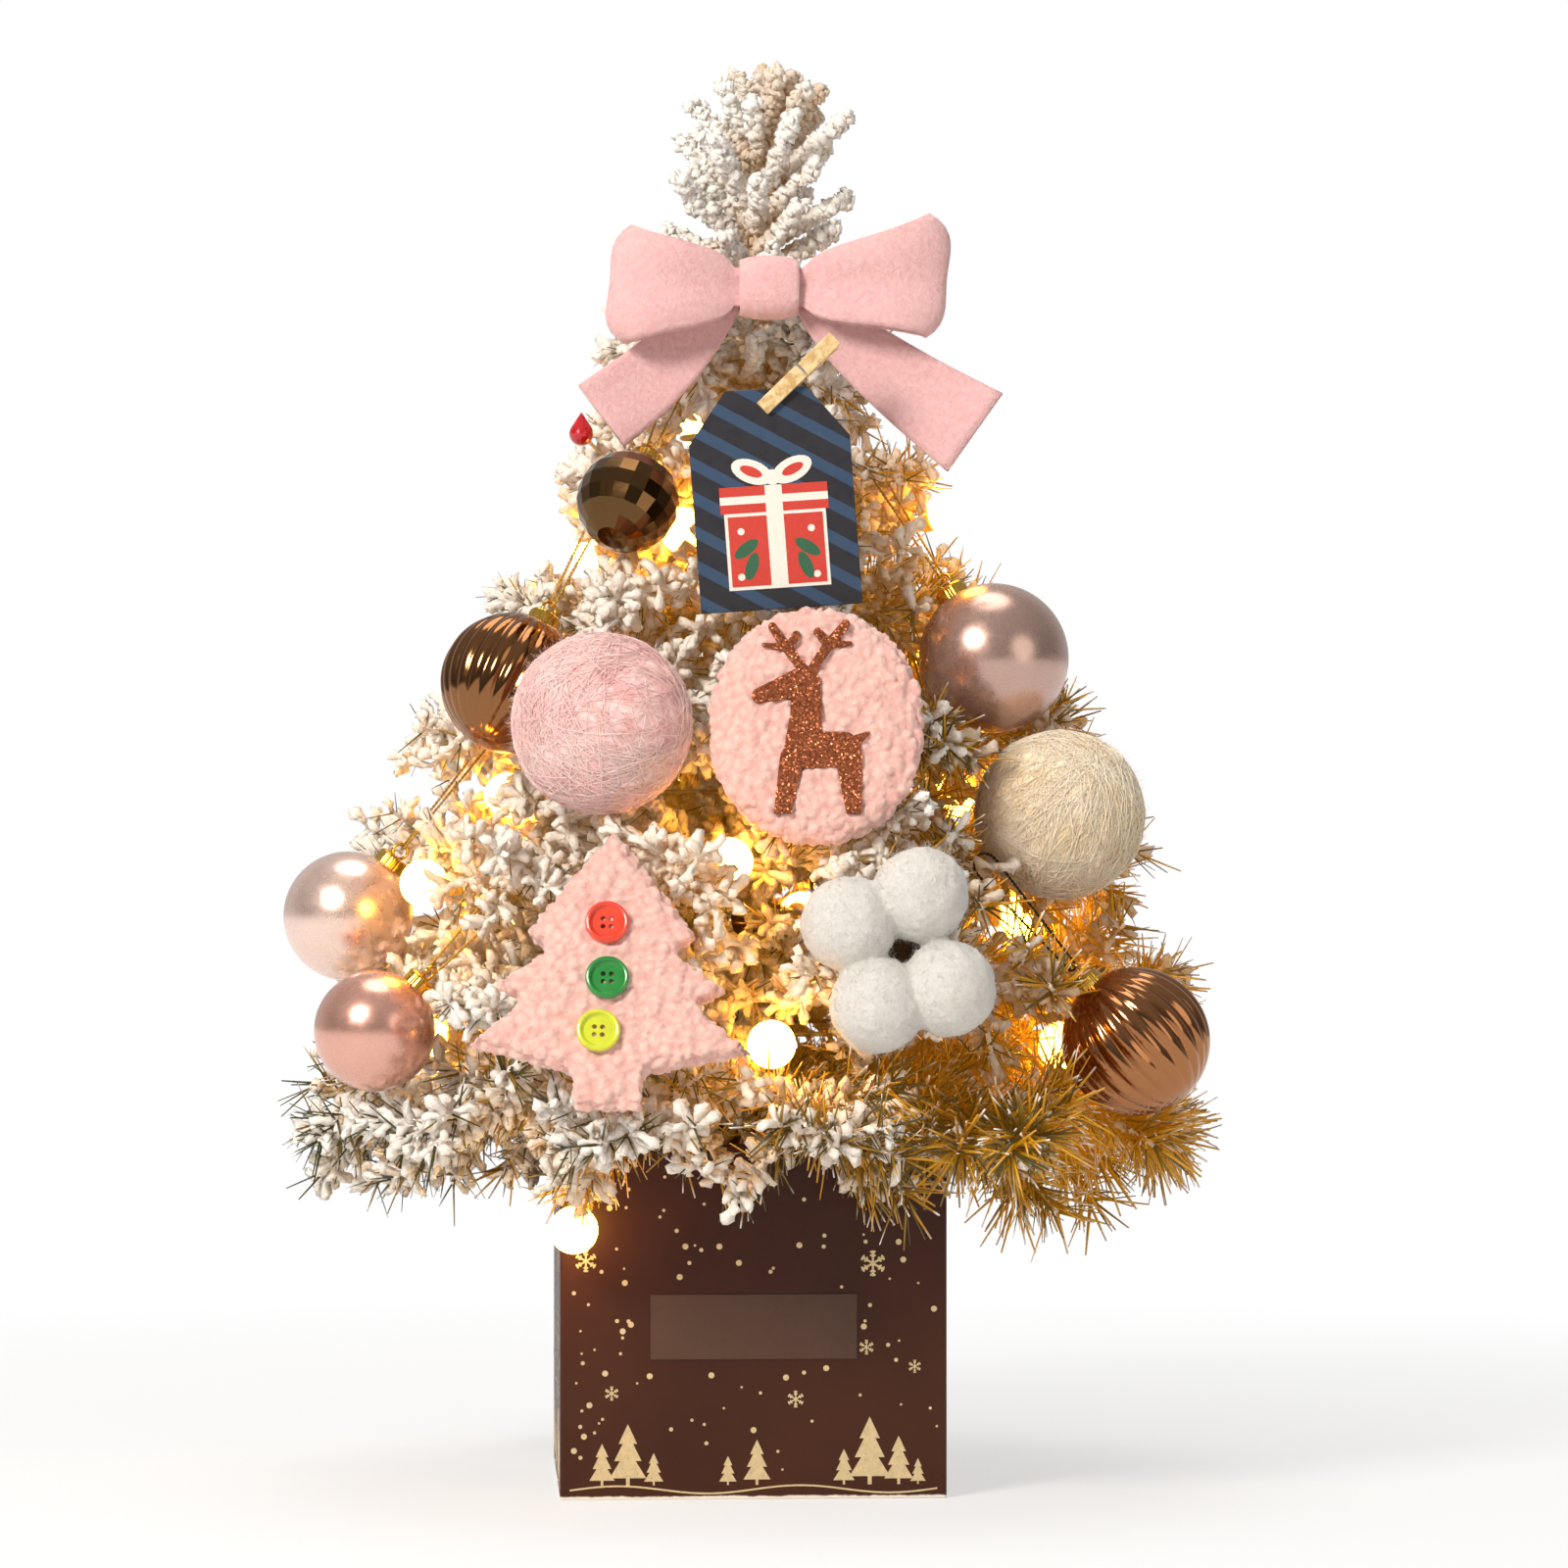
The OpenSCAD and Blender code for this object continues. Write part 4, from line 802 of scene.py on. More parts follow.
def fuzz_group():
    """Fine strands stand on a surface, leaning at random."""
    tree, given, output = new_group("Fuzz on a surface", (
        ("Geometry", "Geometry"), ("Strand", "Object"), ("Density", "Float"), ("Lean", "Float"),
        ("Seed", "Int"), ("Material", "Material")))
    dots = add(tree, "GeometryNodeDistributePointsOnFaces", {
        "Mesh": given["Geometry"], "Density": given["Density"], "Seed": given["Seed"]}).outputs
    turn = turned(tree, dots["Rotation"], (0, 0, 1), chance(tree, 0.0, math.tau, 11))
    turn = turned(tree, turn, (1, 0, 0), chance(tree, 0.2, given["Lean"], 12))
    strand = add(tree, "GeometryNodeObjectInfo", {"Object": given["Strand"]}).outputs["Geometry"]
    many = put(tree, "GeometryNodeInstanceOnPoints", {
        "Points": dots["Points"], "Instance": strand, "Rotation": turn,
        "Scale": chance(tree, 0.5, 1.3, 13)})
    close_group(tree, output, many, given["Material"])
    return tree


def copies_group():
    """One shape stands at every point, turned and scaled by the point's own values."""
    tree, given, output = new_group("Copies at points", (
        ("Geometry", "Geometry"), ("Shape", "Object"), ("Material", "Material")))
    points = put(tree, "GeometryNodeMeshToPoints", {"Mesh": given["Geometry"]})
    shape = add(tree, "GeometryNodeObjectInfo", {"Object": given["Shape"]}).outputs["Geometry"]
    many = put(tree, "GeometryNodeInstanceOnPoints", {
        "Points": points, "Instance": shape, "Rotation": named(tree, "turn", "QUATERNION"),
        "Scale": named(tree, "big")})
    close_group(tree, output, many, given["Material"])
    return tree


def copies(name, shape, places, material, smooth=True):
    """A piece of one shape, its points and faces, at places of (point, turn, scale)."""
    group = bpy.data.node_groups.get("Copies at points") or copies_group()
    spots, turns, sizes = zip(*places)
    mesh = mesh_of(name, spots)
    store(mesh, "turn", [tuple(turn) for turn in turns], "QUATERNION")
    store(mesh, "big", sizes)
    single = bpy.data.objects.new(name + "_single", mesh_of(name + "_single", *shape))
    result = grown(name, linked(name + "_points", mesh), group, shape=single, material=material)
    drop(single)
    strip(result, "turn", "big")
    return shown(name, result, material, smooth)


def lines_object(name, lines, closed=False, **values):
    """A mesh of polylines, with one value per line and point for each name given."""
    points, edges = [], []
    for line in lines:
        first = len(points)
        points += list(line)
        edges += [(first + k, first + k + 1) for k in range(len(line) - 1)]
        if closed:
            edges.append((first + len(line) - 1, first))
    mesh = mesh_of(name, points, edges=edges)
    for label, numbers in values.items():
        store(mesh, label, numbers)
    return linked(name + "_lines", mesh)


def tubes(name, lines, radius, sides, material, closed=False):
    """A piece of round tubes along lines."""
    group = bpy.data.node_groups.get("Tubes along lines") or tube_group()
    source = lines_object(name, lines, closed)
    mesh = grown(name, source, group, radius=radius * MM, sides=sides, material=material)
    return shown(name, mesh, material)


# Shared materials

def gold_foil():
    found = bpy.data.materials.get("gold foil")
    if found:
        return found
    f = Finish("gold foil", ink("foil"), Metallic=0.55)
    f.gloss(1400, 0.25, 0.5).mottle(f.noise(500, 2), 0.3, 0.7, 0.82)
    return f.bump(f.noise(2600, 2), 0.3, 0.02).material


def spring_steel():
    found = bpy.data.materials.get("spring steel")
    return found or plain("spring steel", ink("steel"), 0.3, 1500, 0.02, Metallic=1.0)


# Gift box

# Firs of the box print as place along the wall and height, flakes as place, height and size
FIRS = ((-47, 13), (-39, 19), (-31, 10), (-8, 9), (1, 14), (28, 11), (36, 21), (45, 15), (51, 8))
FLAKES = (
    (37, 73, 4.0), (-52, 74, 3.4), (35, 47, 2.3), (50, 41, 2.0), (-44, 33, 2.2), (13, 31, 2.6))
DOTS_PER_WALL = 95
DOT_RADII = (0.38, 0.5, 0.65, 0.95)
# Half width and height of the bare panel on the front, with some room, and its middle
PANEL_HALF, PANEL_Z = (34, 12), 53.5
# How far the folded rim reaches down inside
LINING = 6


class TREE_OT_box(bpy.types.Operator):
    """Gift box of printed board with its foil print, panel, ballast and foam"""
    bl_idname = "tree.box"
    bl_label = "Gift box"

    def execute(self, context):
        self.shell()
        self.foil_print()
        f = Finish("label board", ink("label"), Coat_Weight=0.1)
        weave = f.noise(1800, 3)
        f.mottle(weave, 0.3, 0.7, 0.86).gloss(240, 0.42, 0.6).bump(weave, 0.4, 0.05)
        coat(f.material, "front_panel")
        coat(plain("cement", ink("cement"), 0.9, 350, 0.5), "ballast_block")
        foam = Finish("foam", ink("foam"), Roughness=0.95)
        pore_and_shade = foam.cells(900)
        # Painted shade: the foam is darker in the pores, which the relief sinks
        coat(foam.mottle(pore_and_shade, 0, 0.6, 0.5).bump(pore_and_shade, 0.8, 0.5).material, "foam_block")
        return {"FINISHED"}

    def shell(self):
        half, top, board = size("box_width") / 2, size("box_height"), size("board")
        inside = half - 2 * board
        profile = (
            (half - 0.4, 0), (half, 0.4), (half, top - 0.5), (half - 0.2, top - 0.15),
            (half - 0.6, top), (inside + 0.4, top), (inside, top - 0.4), (inside, top - LINING),
            (half - board, top - LINING), (half - board, board))
        rings = []
        for reach, z in profile:
            corner = 0.9 if reach > half - 1 else 0.5
            flat = reach - corner
            rings.append([
                (sx * flat + corner * math.cos(a), sy * flat + corner * math.sin(a), z)
                for k, (sx, sy) in enumerate(((1, 1), (-1, 1), (-1, -1), (1, -1)))
                for a in (math.radians(90 * k + step) for step in (0, 22.5, 45, 67.5, 90))])
        f = Finish("printed board", ink("board"), Coat_Weight=0.06, Coat_Roughness=0.25,
                   Specular_IOR_Level=0.25)
        # Painted sheen: large lighter patches of the board's colour at random
        tone = f.mix(f.spread(f.noise(14, 3), 0.35, 0.7), ink("board"), ink("board_sheen"))
        height = add(f.tree, "ShaderNodeSeparateXYZ", {0: f.place}).outputs["Z"]
        worn = f.math("ADD", height, f.spread(f.noise(260, 3), 0, 1, -0.0007, 0.0007))
        f.paint(f.spread(worn, 0.0008, 0.0013), ink("board_edge"), tone)
        f.gloss(420, 0.34, 0.52, 4).bump(f.noise(2200, 3), 0.35, 0.04)
        box = made("box_shell", loft(rings), f.material, smooth=False)
        seat(box, replaces=("gift_box",))

    def foil_print(self):
        """Stamped dots, flakes, firs and a snow line, on each wall."""
        rng = np.random.default_rng(11)
        half = size("box_width") / 2
        dots, flakes, firs, hills = [], [], [], []
        for side in range(4):
            turn = Matrix.Rotation(side * math.pi / 2, 4, "Z")

            def spot(u, v, big):
                return through(turn, [(u, -half, v)])[0], turn.to_quaternion(), big

            row = FIRS
            if side:
                row = [(u + rng.uniform(-3, 3), h * rng.uniform(0.85, 1.1)) for u, h in row]
            firs += [spot(u, 4.5, h) for u, h in row]
            flakes += [spot(*flake) for flake in FLAKES]
            line = [(x, 3.4 + 1.2 * math.sin(x / 9 + side)) for x in np.linspace(-57, 57, 40)]
            points, faces = self.plate(line + [(x, z - 0.55) for x, z in line[::-1]], 0.02, 0.09)
            hills.append((through(turn, points + np.array((0, -half, 0))), faces))
            made_here = 0
            while made_here < DOTS_PER_WALL:
                u, v, r = rng.uniform(-57, 57), rng.uniform(9, 102), rng.choice(DOT_RADII)
                low = any(abs(u - x) < 0.3 * h + 1.5 and v < h + 6.5 for x, h in row)
                near = any(math.hypot(u - x, v - y) < q + 1.6 for x, y, q in FLAKES)
                panel = abs(u) < PANEL_HALF[0] and abs(v - PANEL_Z) < PANEL_HALF[1]
                if low or near or (side == 0 and panel):
                    continue
                dots.append(spot(u, v, r))
                made_here += 1
        around = np.linspace(0, math.tau, 10, False)
        dot = self.plate(list(zip(np.cos(around), np.sin(around))), 0.05, 0.12)
        for name, shape, places in (
                ("dots", dot, dots), ("flakes", self.flake(), flakes), ("firs", self.fir(), firs)):
            piece = copies("box_foil_" + name, shape, places, gold_foil(), smooth=False)
            seat(piece)
        seat(made("box_foil_line", merged(hills), gold_foil(), smooth=False))

    def plate(self, outline, sunk, proud):
        """A thin plate in the XZ plane that faces -Y."""
        return loft([[(u, sunk, v) for u, v in outline], [(u, -proud, v) for u, v in outline]])

    def flake(self):
        """Six barbed arms of length one."""
        bars = []

        def bar(p, q, w, proud):
            across = np.array((-(q - p)[1], (q - p)[0])) / np.linalg.norm(q - p) * w
            bars.append(self.plate([p + across, p - across, q - across, q + across], 0.01, proud))

        for k in range(6):
            a = math.radians(60 * k + 30)
            arm = np.array((math.cos(a), math.sin(a)))
            bar(0 * arm, arm, 0.08, 0.024 + 0.004 * k)
            for share in (0.5, 0.78):
                for lean in (-1, 1):
                    b = a + lean * math.radians(50)
                    tip = arm * share + np.array((math.cos(b), math.sin(b))) * 0.26
                    bar(arm * share, tip, 0.07, 0.022 + 0.004 * k + 0.001 * lean)
        return merged(bars)

    def fir(self):
        """A three-tiered fir of height one."""
        right = [(0.03, 0.12), (0.3, 0.12), (0.126, 0.4), (0.222, 0.4), (0.084, 0.68), (0.15, 0.68)]
        outline = [(0.03, 0)] + right + [(0, 1)] + [(-x, y) for x, y in right[::-1]] + [(-0.03, 0)]
        return self.plate(outline, 0.003, 0.006)


# Branches

# Nodes that foliage keeps away from, and those on the tree's face that it doesn't hide
SOLID = (
    "pink_fibre_ball", "white_fibre_ball", "plush_disc", "reindeer", "plush_tree", "red_button",
    "green_button", "lime_button", "cotton_bolls", "cotton_husk", "bow_loops", "bow_tails",
    "bow_knot", "gift_tag", "peg_rear_lever", "peg_front_lever", "peg_spring", "light_globes",
    "light_sockets", "red_berry", "gift_box", "front_panel")
FACE = [n for n in SOLID if n.split("_")[0] not in ("light", "red", "gift", "front")] + ["gift_tag"]
# Stops along the motions that foliage leaves room for: lifts of the cover, and number per swing
COVER_STOPS, SWING_STOPS = (0, 7, 14, 20), 4
# Room that needles keep, and the extra room at a cord
KEEP_MARGIN, CORD_ROOM = 1.3, 1.7
# Least distance from an ornament to a stem, a twig and a twig of the leader
STEM_ROOM, TWIG_ROOM, LEADER_ROOM = 2.2, 2.6, 2.4
STEM_RADIUS = 0.8
# Where a branch's line starts, its steps, and from where it stops at ornaments
STEM_START, STEM_STEP, STEM_FREE = 6, 4, 20
# Side twigs: length in the lowest and the highest tier, gaps in wide and other tiers, steps,
# turn from the branch and rise
TWIG_LENGTHS, TWIG_GAPS, TWIG_STEP = (46, 32), (6.5, 4.4), 3.5
TWIG_TURNS, TWIG_RISES = (32, 58), (-28, -6, 14, 34)
# Counted from below: tiers with wide gaps between flat twigs, and tiers in two halves
WIDE_TIERS, SPLIT_TIERS = 3, 4
# Turn and rise of the twigs that fan out at a branch's end
FAN_AIMS = ((-62, 12), (-34, -18), (-8, 26), (28, 8), (58, -14), (10, -34))
# Twigs of the leader, the turn from one to the next, and the height that they stay under
LEADER_TWIGS, GOLDEN_TURN, LEADER_TOP = 63, 137.5, 449
# Beyond this radius, needles are drawn in
CROWN_LIMIT = 153


def clear_room(with_cords, margin, nodes=SOLID):
    """Faces that foliage keeps away from: the ornaments, with moving ones at stops on their way."""
    parts = []

    def take(node, matrix=None):
        mesh = node_mesh(node)
        wide = margin + CORD_ROOM if margin and node.endswith("_loop") else margin
        points = coords(mesh) + normals(mesh) * wide * MM
        if matrix is not None:
            points = through(matrix, points)
        parts.append((points / MM, [tuple(p.vertices) for p in mesh.polygons]))
        bpy.data.meshes.remove(mesh)

    for node in nodes:
        take(node)
    for lift in COVER_STOPS if with_cords else ():
        take("battery_cover", Matrix.Translation((0, 0, lift * MM)))
    for joint in frame["joints"]:
        moved = frame["record"]["behaviour"]["bodies"][joint["child"]]
        names = [n for n in moved if n.endswith(("_ball", "_cap"))]
        cords = [n for n in moved if n.endswith("_loop")]
        if joint["child"] == "peg_lever":
            names = ["peg_front_lever"]
        if not names:
            continue
        at = Vector(joint["pos_m"])
        for angle in np.linspace(*joint["range_deg"], SWING_STOPS):
            spin = Matrix.Rotation(math.radians(angle), 4, Vector(joint["axis"]))
            matrix = Matrix.Translation(at) @ spin @ Matrix.Translation(-at)
            for node in names + (cords if with_cords else []):
                take(node, matrix)
    return merged(parts)


def room_tree(*room):
    """A search tree over the room that foliage keeps clear."""
    points, faces = clear_room(*room)
    return BVHTree.FromPolygons([Vector(p) for p in points], faces)


def shape_set(name, shapes):
    """A hidden collection of small shapes for instancing."""
    collection = bpy.data.collections.new(name)
    for k, (shape, tips) in enumerate(shapes):
        mesh = mesh_of(f"{name}_{k}", *shape)
        store(mesh, "tip", tips)
        collection.objects.link(bpy.data.objects.new(f"{name}_{k}", mesh))
    return collection


def bare_shapes(length, radius):
    """Thin needles, leaning a little, three-sided."""
    rng = np.random.default_rng(3)
    turn = np.radians((0, 120, 240))
    shapes = []
    for _ in range(SHAPE_COUNT):
        bend = rng.uniform(-0.12, 0.12, 2) * length
        rings, tips = [], []
        for t in (0, 1):
            r = radius * lerp(1, 0.45, t * t)
            middle = np.array((*(bend * t * t), length * t))
            rings.append(np.stack((r * np.cos(turn), 0.55 * r * np.sin(turn), 0 * turn), 1) + middle)
            tips += [t] * len(turn)
        shapes.append((loft(rings), tips))
    return shapes


def flock_shapes(length, radius, seed):
    """Needles clotted with flock: lumpy fingers with a blunt end."""
    rng = np.random.default_rng(seed)
    shapes = []
    sides = 4
    for _ in range(SHAPE_COUNT):
        bend = rng.uniform(-0.25, 0.25, 2) * length
        rings, tips = [], []
        for t, r in ((0, 0.7), (0.4, 0.9), (0.8, 1.3), (1, 0.7)):
            r = radius * r * rng.uniform(0.7, 1.35, sides)
            turn = np.linspace(0, math.tau, sides, False) + t * 1.6
            shift = rng.uniform(-0.45, 0.45, 2) * radius
            middle = np.array((*(bend * t * t + shift), length * t))
            lumps = rng.uniform(-0.5, 0.5, sides)
            rings.append(np.stack((r * np.cos(turn), r * np.sin(turn), lumps), 1) + middle)
            tips += [t] * sides
        shapes.append((loft(rings), tips))
    return shapes


def heading(ahead, turn, rise):
    """A direction turned aside from another and lifted, by angles in radians."""
    flat = np.array((ahead[0] * math.cos(turn) - ahead[1] * math.sin(turn),
                     ahead[0] * math.sin(turn) + ahead[1] * math.cos(turn), 0))
    return unit(flat * math.cos(rise) + np.array((0, 0, math.sin(rise))))


def run_twig(lines, start, steps, way, stops):
    """Adds a line that runs on until it has to stop, if it gets long enough."""
    line = [start]
    for d in steps:
        p = way(d)
        if stops(p):
            break
        line.append(p)
    if len(line) > 2:
        lines.append(np.array(line))


class TREE_OT_branches(bpy.types.Operator):
    """Tiers of wire branches with bare and flocked needles, and the leader on top"""
    bl_idname = "tree.branches"
    bl_label = "Branches"

    def execute(self, context):
        self.group = needle_group()
        self.all_room = room_tree(True, 0.0)
        self.stem_room = room_tree(False, 0.0)
        self.face_room = room_tree(False, 0.0, FACE)
        mesh = mesh_of("keep_clear", *clear_room(True, KEEP_MARGIN))
        self.keep = bpy.data.objects.new("keep_clear", mesh)
        flock, thickness = size("flock"), size("flock_radius")
        self.bare = shape_set("bare", bare_shapes(size("needle"), size("needle_radius")))
        self.thick = shape_set("thick", flock_shapes(flock, thickness, 5))
        self.fingers = shape_set("finger", flock_shapes(flock * 0.42, thickness * 0.95, 7))
        self.needle_mat, self.flock_mat = self.needle_finish(), self.flock_finish()
        self.globes = np.array([at for at, _ in all_lights()])
        for i in range(LAST_TIER + 1):
            lines = self.tier_lines(i, np.random.default_rng(40 + i))
            halves = {"": lines}
            if i < SPLIT_TIERS:
                halves = {"_front": [k for k in lines if k[-1][1] < 0],
                          "_back": [k for k in lines if k[-1][1] >= 0]}
            for half, some in halves.items():
                self.clothe(f"tier_{i + 1}{half}", some, i, f"branch_tier_{i + 1}")
        lines = self.leader_lines(np.random.default_rng(60))
        self.clothe("leader", lines, LAST_TIER + 1, "leader_sprig")
        for collection in (self.bare, self.thick, self.fingers):
            drop(*collection.objects)
            bpy.data.collections.remove(collection)
        drop(self.keep)
        return {"FINISHED"}

    def near(self, p, room=TWIG_ROOM):
        """Whether a twig there would touch an ornament."""
        return self.all_room.find_nearest(Vector(p))[3] < room

    def hides(self, p):
        """Whether a twig there would stand before an ornament on the tree's face."""
        return any(
            self.face_room.ray_cast(Vector((p[0] + x, p[1], p[2] + z)), Vector((0, 1, 0)), 90)[0]
            for x, z in ((0, 0), (6, 0), (-6, 0), (0, 6), (0, -6)))

    def tier_lines(self, i, rng):
        reach = tier_reach(i)
        lines = []
        for j in range(TIER_COUNTS[i]):
            stem = []
            for r in np.append(np.arange(STEM_START, reach, STEM_STEP), reach):
                p = branch_point(i, j, r)
                if r > STEM_FREE and self.stem_room.find_nearest(Vector(p))[3] < STEM_ROOM:
                    break
                stem.append(p)
            if len(stem) < 3:
                continue
            lines.append(np.array(stem))
            lines += self.side_twigs(np.array(stem), i, rng)
        return lines

    def side_twigs(self, stem, i, rng):
        """Twigs to both sides in turn, shorter towards the branch's end, and sagging a little."""
        reach = tier_reach(i)
        wide = i < WIDE_TIERS
        step = np.linalg.norm(np.diff(stem, axis=0), axis=1)
        place = np.concatenate(([0], np.cumsum(step)))
        full = lerp(*TWIG_LENGTHS, i / LAST_TIER)
        lines = []
        gap = TWIG_GAPS[0 if wide else 1]
        for k, s in enumerate(np.arange(max(9, 0.16 * reach), place[-1] - 3, gap)):
            at = np.array([np.interp(s, place, stem[:, axis]) for axis in range(3)])
            m = min(len(stem) - 2, int(np.searchsorted(place, s)))
            turn = (1 if k % 2 else -1) * math.radians(rng.uniform(*TWIG_TURNS))
            rise = rng.choice(TWIG_RISES) * (1 if wide else 1.5)
            rise = math.radians(rise + rng.uniform(-6, 6) - (8 if i == 0 else 0))
            aim = heading(unit(stem[m + 1] - stem[m - 1]), turn, rise)
            length = full * (1.1 - 0.35 * s / place[-1]) * rng.uniform(0.8, 1.15)
            run_twig(
                lines, at, np.arange(TWIG_STEP, length, TWIG_STEP),
                lambda d: at + aim * d + np.array((0, 0, -3.5 * (d / full) ** 2)),
                lambda p: (self.near(p) or math.hypot(p[0], p[1]) > reach + TIER_SPREAD[i]
                           or self.hides(p)))
        if i:
            lines += self.fan(stem, i, rng)
        return lines

    def fan(self, stem, i, rng):
        """Short twigs that spread from a branch's end."""
        ahead = unit(stem[-1] - stem[-3])
        lines = []
        for turn, rise in FAN_AIMS:
            turn = math.radians(turn + rng.uniform(-8, 8))
            rise = math.radians(rise + rng.uniform(-8, 8))
            aim = heading(ahead, turn, rise)
            run_twig(
                lines, stem[-1], np.arange(3, TIER_FAN[i] * rng.uniform(0.8, 1.2), 2.5),
                lambda d: stem[-1] + aim * d, lambda p: self.near(p) or self.hides(p))
        return lines

    def leader_lines(self, rng):
        """The sprig's stem and its twigs, which spread low down and rise near the tip."""
        lines = [np.array([leader_point(t) for t in np.linspace(0, 1, 24)])]
        for k, t in enumerate(np.linspace(-0.12, 0.98, LEADER_TWIGS)):
            az = math.radians(k * GOLDEN_TURN)
            lean = math.radians(lerp(4, 52, max(0, t) ** 1.8) + rng.uniform(-8, 8))
            flat = math.cos(lean)
            aim = np.array((flat * math.cos(az), flat * math.sin(az), math.sin(lean)))
            run_twig(
                lines, leader_point(t), np.arange(2, lerp(32, 27, t) * rng.uniform(0.85, 1.1), 2),
                lambda d: leader_point(t) + aim * d + np.array((0, 0, 0.008 * d * d)),
                lambda p: self.near(p, LEADER_ROOM) or p[2] > LEADER_TOP - 0.012 * (p[0] - 6) ** 2)
        return lines

    def snow(self, p, i):
        """Share of needles under flock: most at the top and on the left, least low on the right."""
        if i > LAST_TIER:
            return 1.0
        right = min(1, max(0, (p[0] + 10) / 90))
        low = min(1, max(0, (150 - p[2]) / 30))
        share = 1.0 - 0.58 * right - 0.6 * low * (0.32 + 0.68 * right)
        return share + 0.45 * noise.noise(Vector(p) / 22)

    def clothe(self, name, lines, i, node):
        """Bare needles and flock on a tier's lines, as two pieces."""
        snow = [np.clip(self.snow(p, i), 0.05, 1.0) for line in lines for p in line]
        first, top = i == 0, i > LAST_TIER
        floor = 1.0 if top else 0.9
        shared = {"keep_clear": self.keep, "stem": STEM_RADIUS * MM, "snow_floor": floor}
        bare = grown(
            name + "_needles", lines_object(name, lines, snow=snow), self.group, shapes=self.bare,
            spacing=(0.34 if first else 0.42) * MM, reach=size("needle") * MM,
            shrink=-0.3 if first else -0.5, lean_low=0.5, lean_high=1.15, flocked=False,
            snow_rise=0.0 if top else 0.1, seed=100 + i, material=self.needle_mat, **shared)
        flock = grown(
            name + "_flock", lines_object(name, lines, snow=snow), self.group,
            shapes=self.fingers if top else self.thick, spacing=(0.31 if top else 0.95) * MM,
            reach=size("flock") * (0.4 if top else 1) * MM, shrink=0.0, lean_low=0.45,
            lean_high=1.5, flocked=True, snow_rise=0.0 if top else 0.12, seed=200 + i,
            material=self.flock_mat, **shared)
        for mesh in (bare, flock):
            self.tint(mesh, top)
        seat(shown(name + "_needles", bare, self.needle_mat), replaces=(node,))
        seat(shown(name + "_flock", flock, self.flock_mat))

    def tint(self, mesh, top):
        """Draws far needles in, and stores how near a light is and how much painted light and shade
        the colour takes.
        """
        points = coords(mesh) / MM
        out = np.hypot(points[:, 0], points[:, 1])
        drawn_in = np.minimum(out, CROWN_LIMIT + 0.25 * np.maximum(0, out - CROWN_LIMIT))
        points[:, :2] *= (drawn_in / np.maximum(out, 1e-6))[:, None]
        set_coords(mesh, points * MM)
        near = np.full(len(points), 1e9)
        for globe in self.globes:
            near = np.minimum(near, np.linalg.norm(points - globe, axis=1))
        x, y, z = points.T
        # Painted light and shade: the colour turns golden towards the right, as in yellow light from
        # there, and deep inside the crown and the leader, as glow and shade in the hollows
        if top:
            axis = np.hypot(x - 0.107 * (z - 355), y)
            warm = 0.8 - axis / 30 + 0.4 * np.clip(x / 40, 0, 1)
        else:
            deep = 1 - np.hypot(x, y) / np.interp(z, TIER_HEIGHTS, (140, 40))
            warm = 0.75 * np.clip((x - 10) / 90, 0, 1) + 0.65 * deep
        # Painted light: a pool of light on the foliage around each globe
        store(mesh, "glow", np.exp(-np.maximum(0, near - 7) / 20))
        store(mesh, "warm", np.clip(warm, 0, 1))
        strip(mesh, "turn", "chance", "snow")

    def needle_finish(self):
        f = Finish("needles", ink("needle_dark"), Roughness=0.4, Specular_IOR_Level=0.6)
        glow, warm, tip, girth = (f.own(n) for n in ("glow", "warm", "tip", "girth"))
        # The needles turn gold, then pale: partly a random share by girth, their own gold, and partly
        # painted light near the globes and painted light and shade on the right and inside
        gold_and_painted_light = f.math("ADD", f.math("MULTIPLY", glow, 0.5), f.math("MULTIPLY", warm, 0.42))
        gold_and_painted_light = f.math("ADD", f.spread(girth, 0.75, 1.15, 0, 0.5), gold_and_painted_light)
        colour = f.mix(f.spread(gold_and_painted_light, 0.46, 0.66), ink("needle_dark"), ink("needle_gold"))
        colour = f.mix(f.spread(gold_and_painted_light, 0.75, 1.1), colour, ink("needle_pale"))
        frost = f.math("MULTIPLY", f.spread(tip, 0.72, 0.95), f.spread(f.noise(90, 2), 0.5, 0.6))
        # Stems have no girth of their own and take the flock's colour
        colour = f.mix(f.spread(girth, 0.2, 0.5), ink("flock_shade"), colour)
        f.paint(frost, colour, ink("flock"))
        # Painted glow: the needles give light near the globes and where the painted warmth lies
        shine = f.math("ADD", glow, f.math("MULTIPLY", warm, 0.4))
        f.light(ink("needle_light"), f.math("MULTIPLY", shine, 0.22))
        return f.bump(f.noise(2400, 2), 0.4, 0.05).material

    def flock_finish(self):
        f = Finish("flock", ink("flock"), Roughness=0.95, Sheen_Weight=0.2, Sheen_Roughness=0.6)
        fluff = f.noise(1100, 5, 0.65)
        glow, warm = f.own("glow"), f.own("warm")
        tone = f.mix(f.spread(fluff, 0.36, 0.56), ink("flock_shade"), ink("flock"))
        # Painted light and shade: the flock turns amber on the right and deep inside, spread a little
        # at random
        amber = f.math("ADD", warm, f.spread(f.noise(35, 2), 0.3, 0.7, -0.3, 0.3))
        tone = f.mix(f.spread(amber, 0.3, 0.95, 0, 0.85), tone, ink("flock_amber"))
        # Painted light: gold flock around each globe
        f.paint(f.math("MULTIPLY", glow, 0.7), tone, ink("flock_glow"))
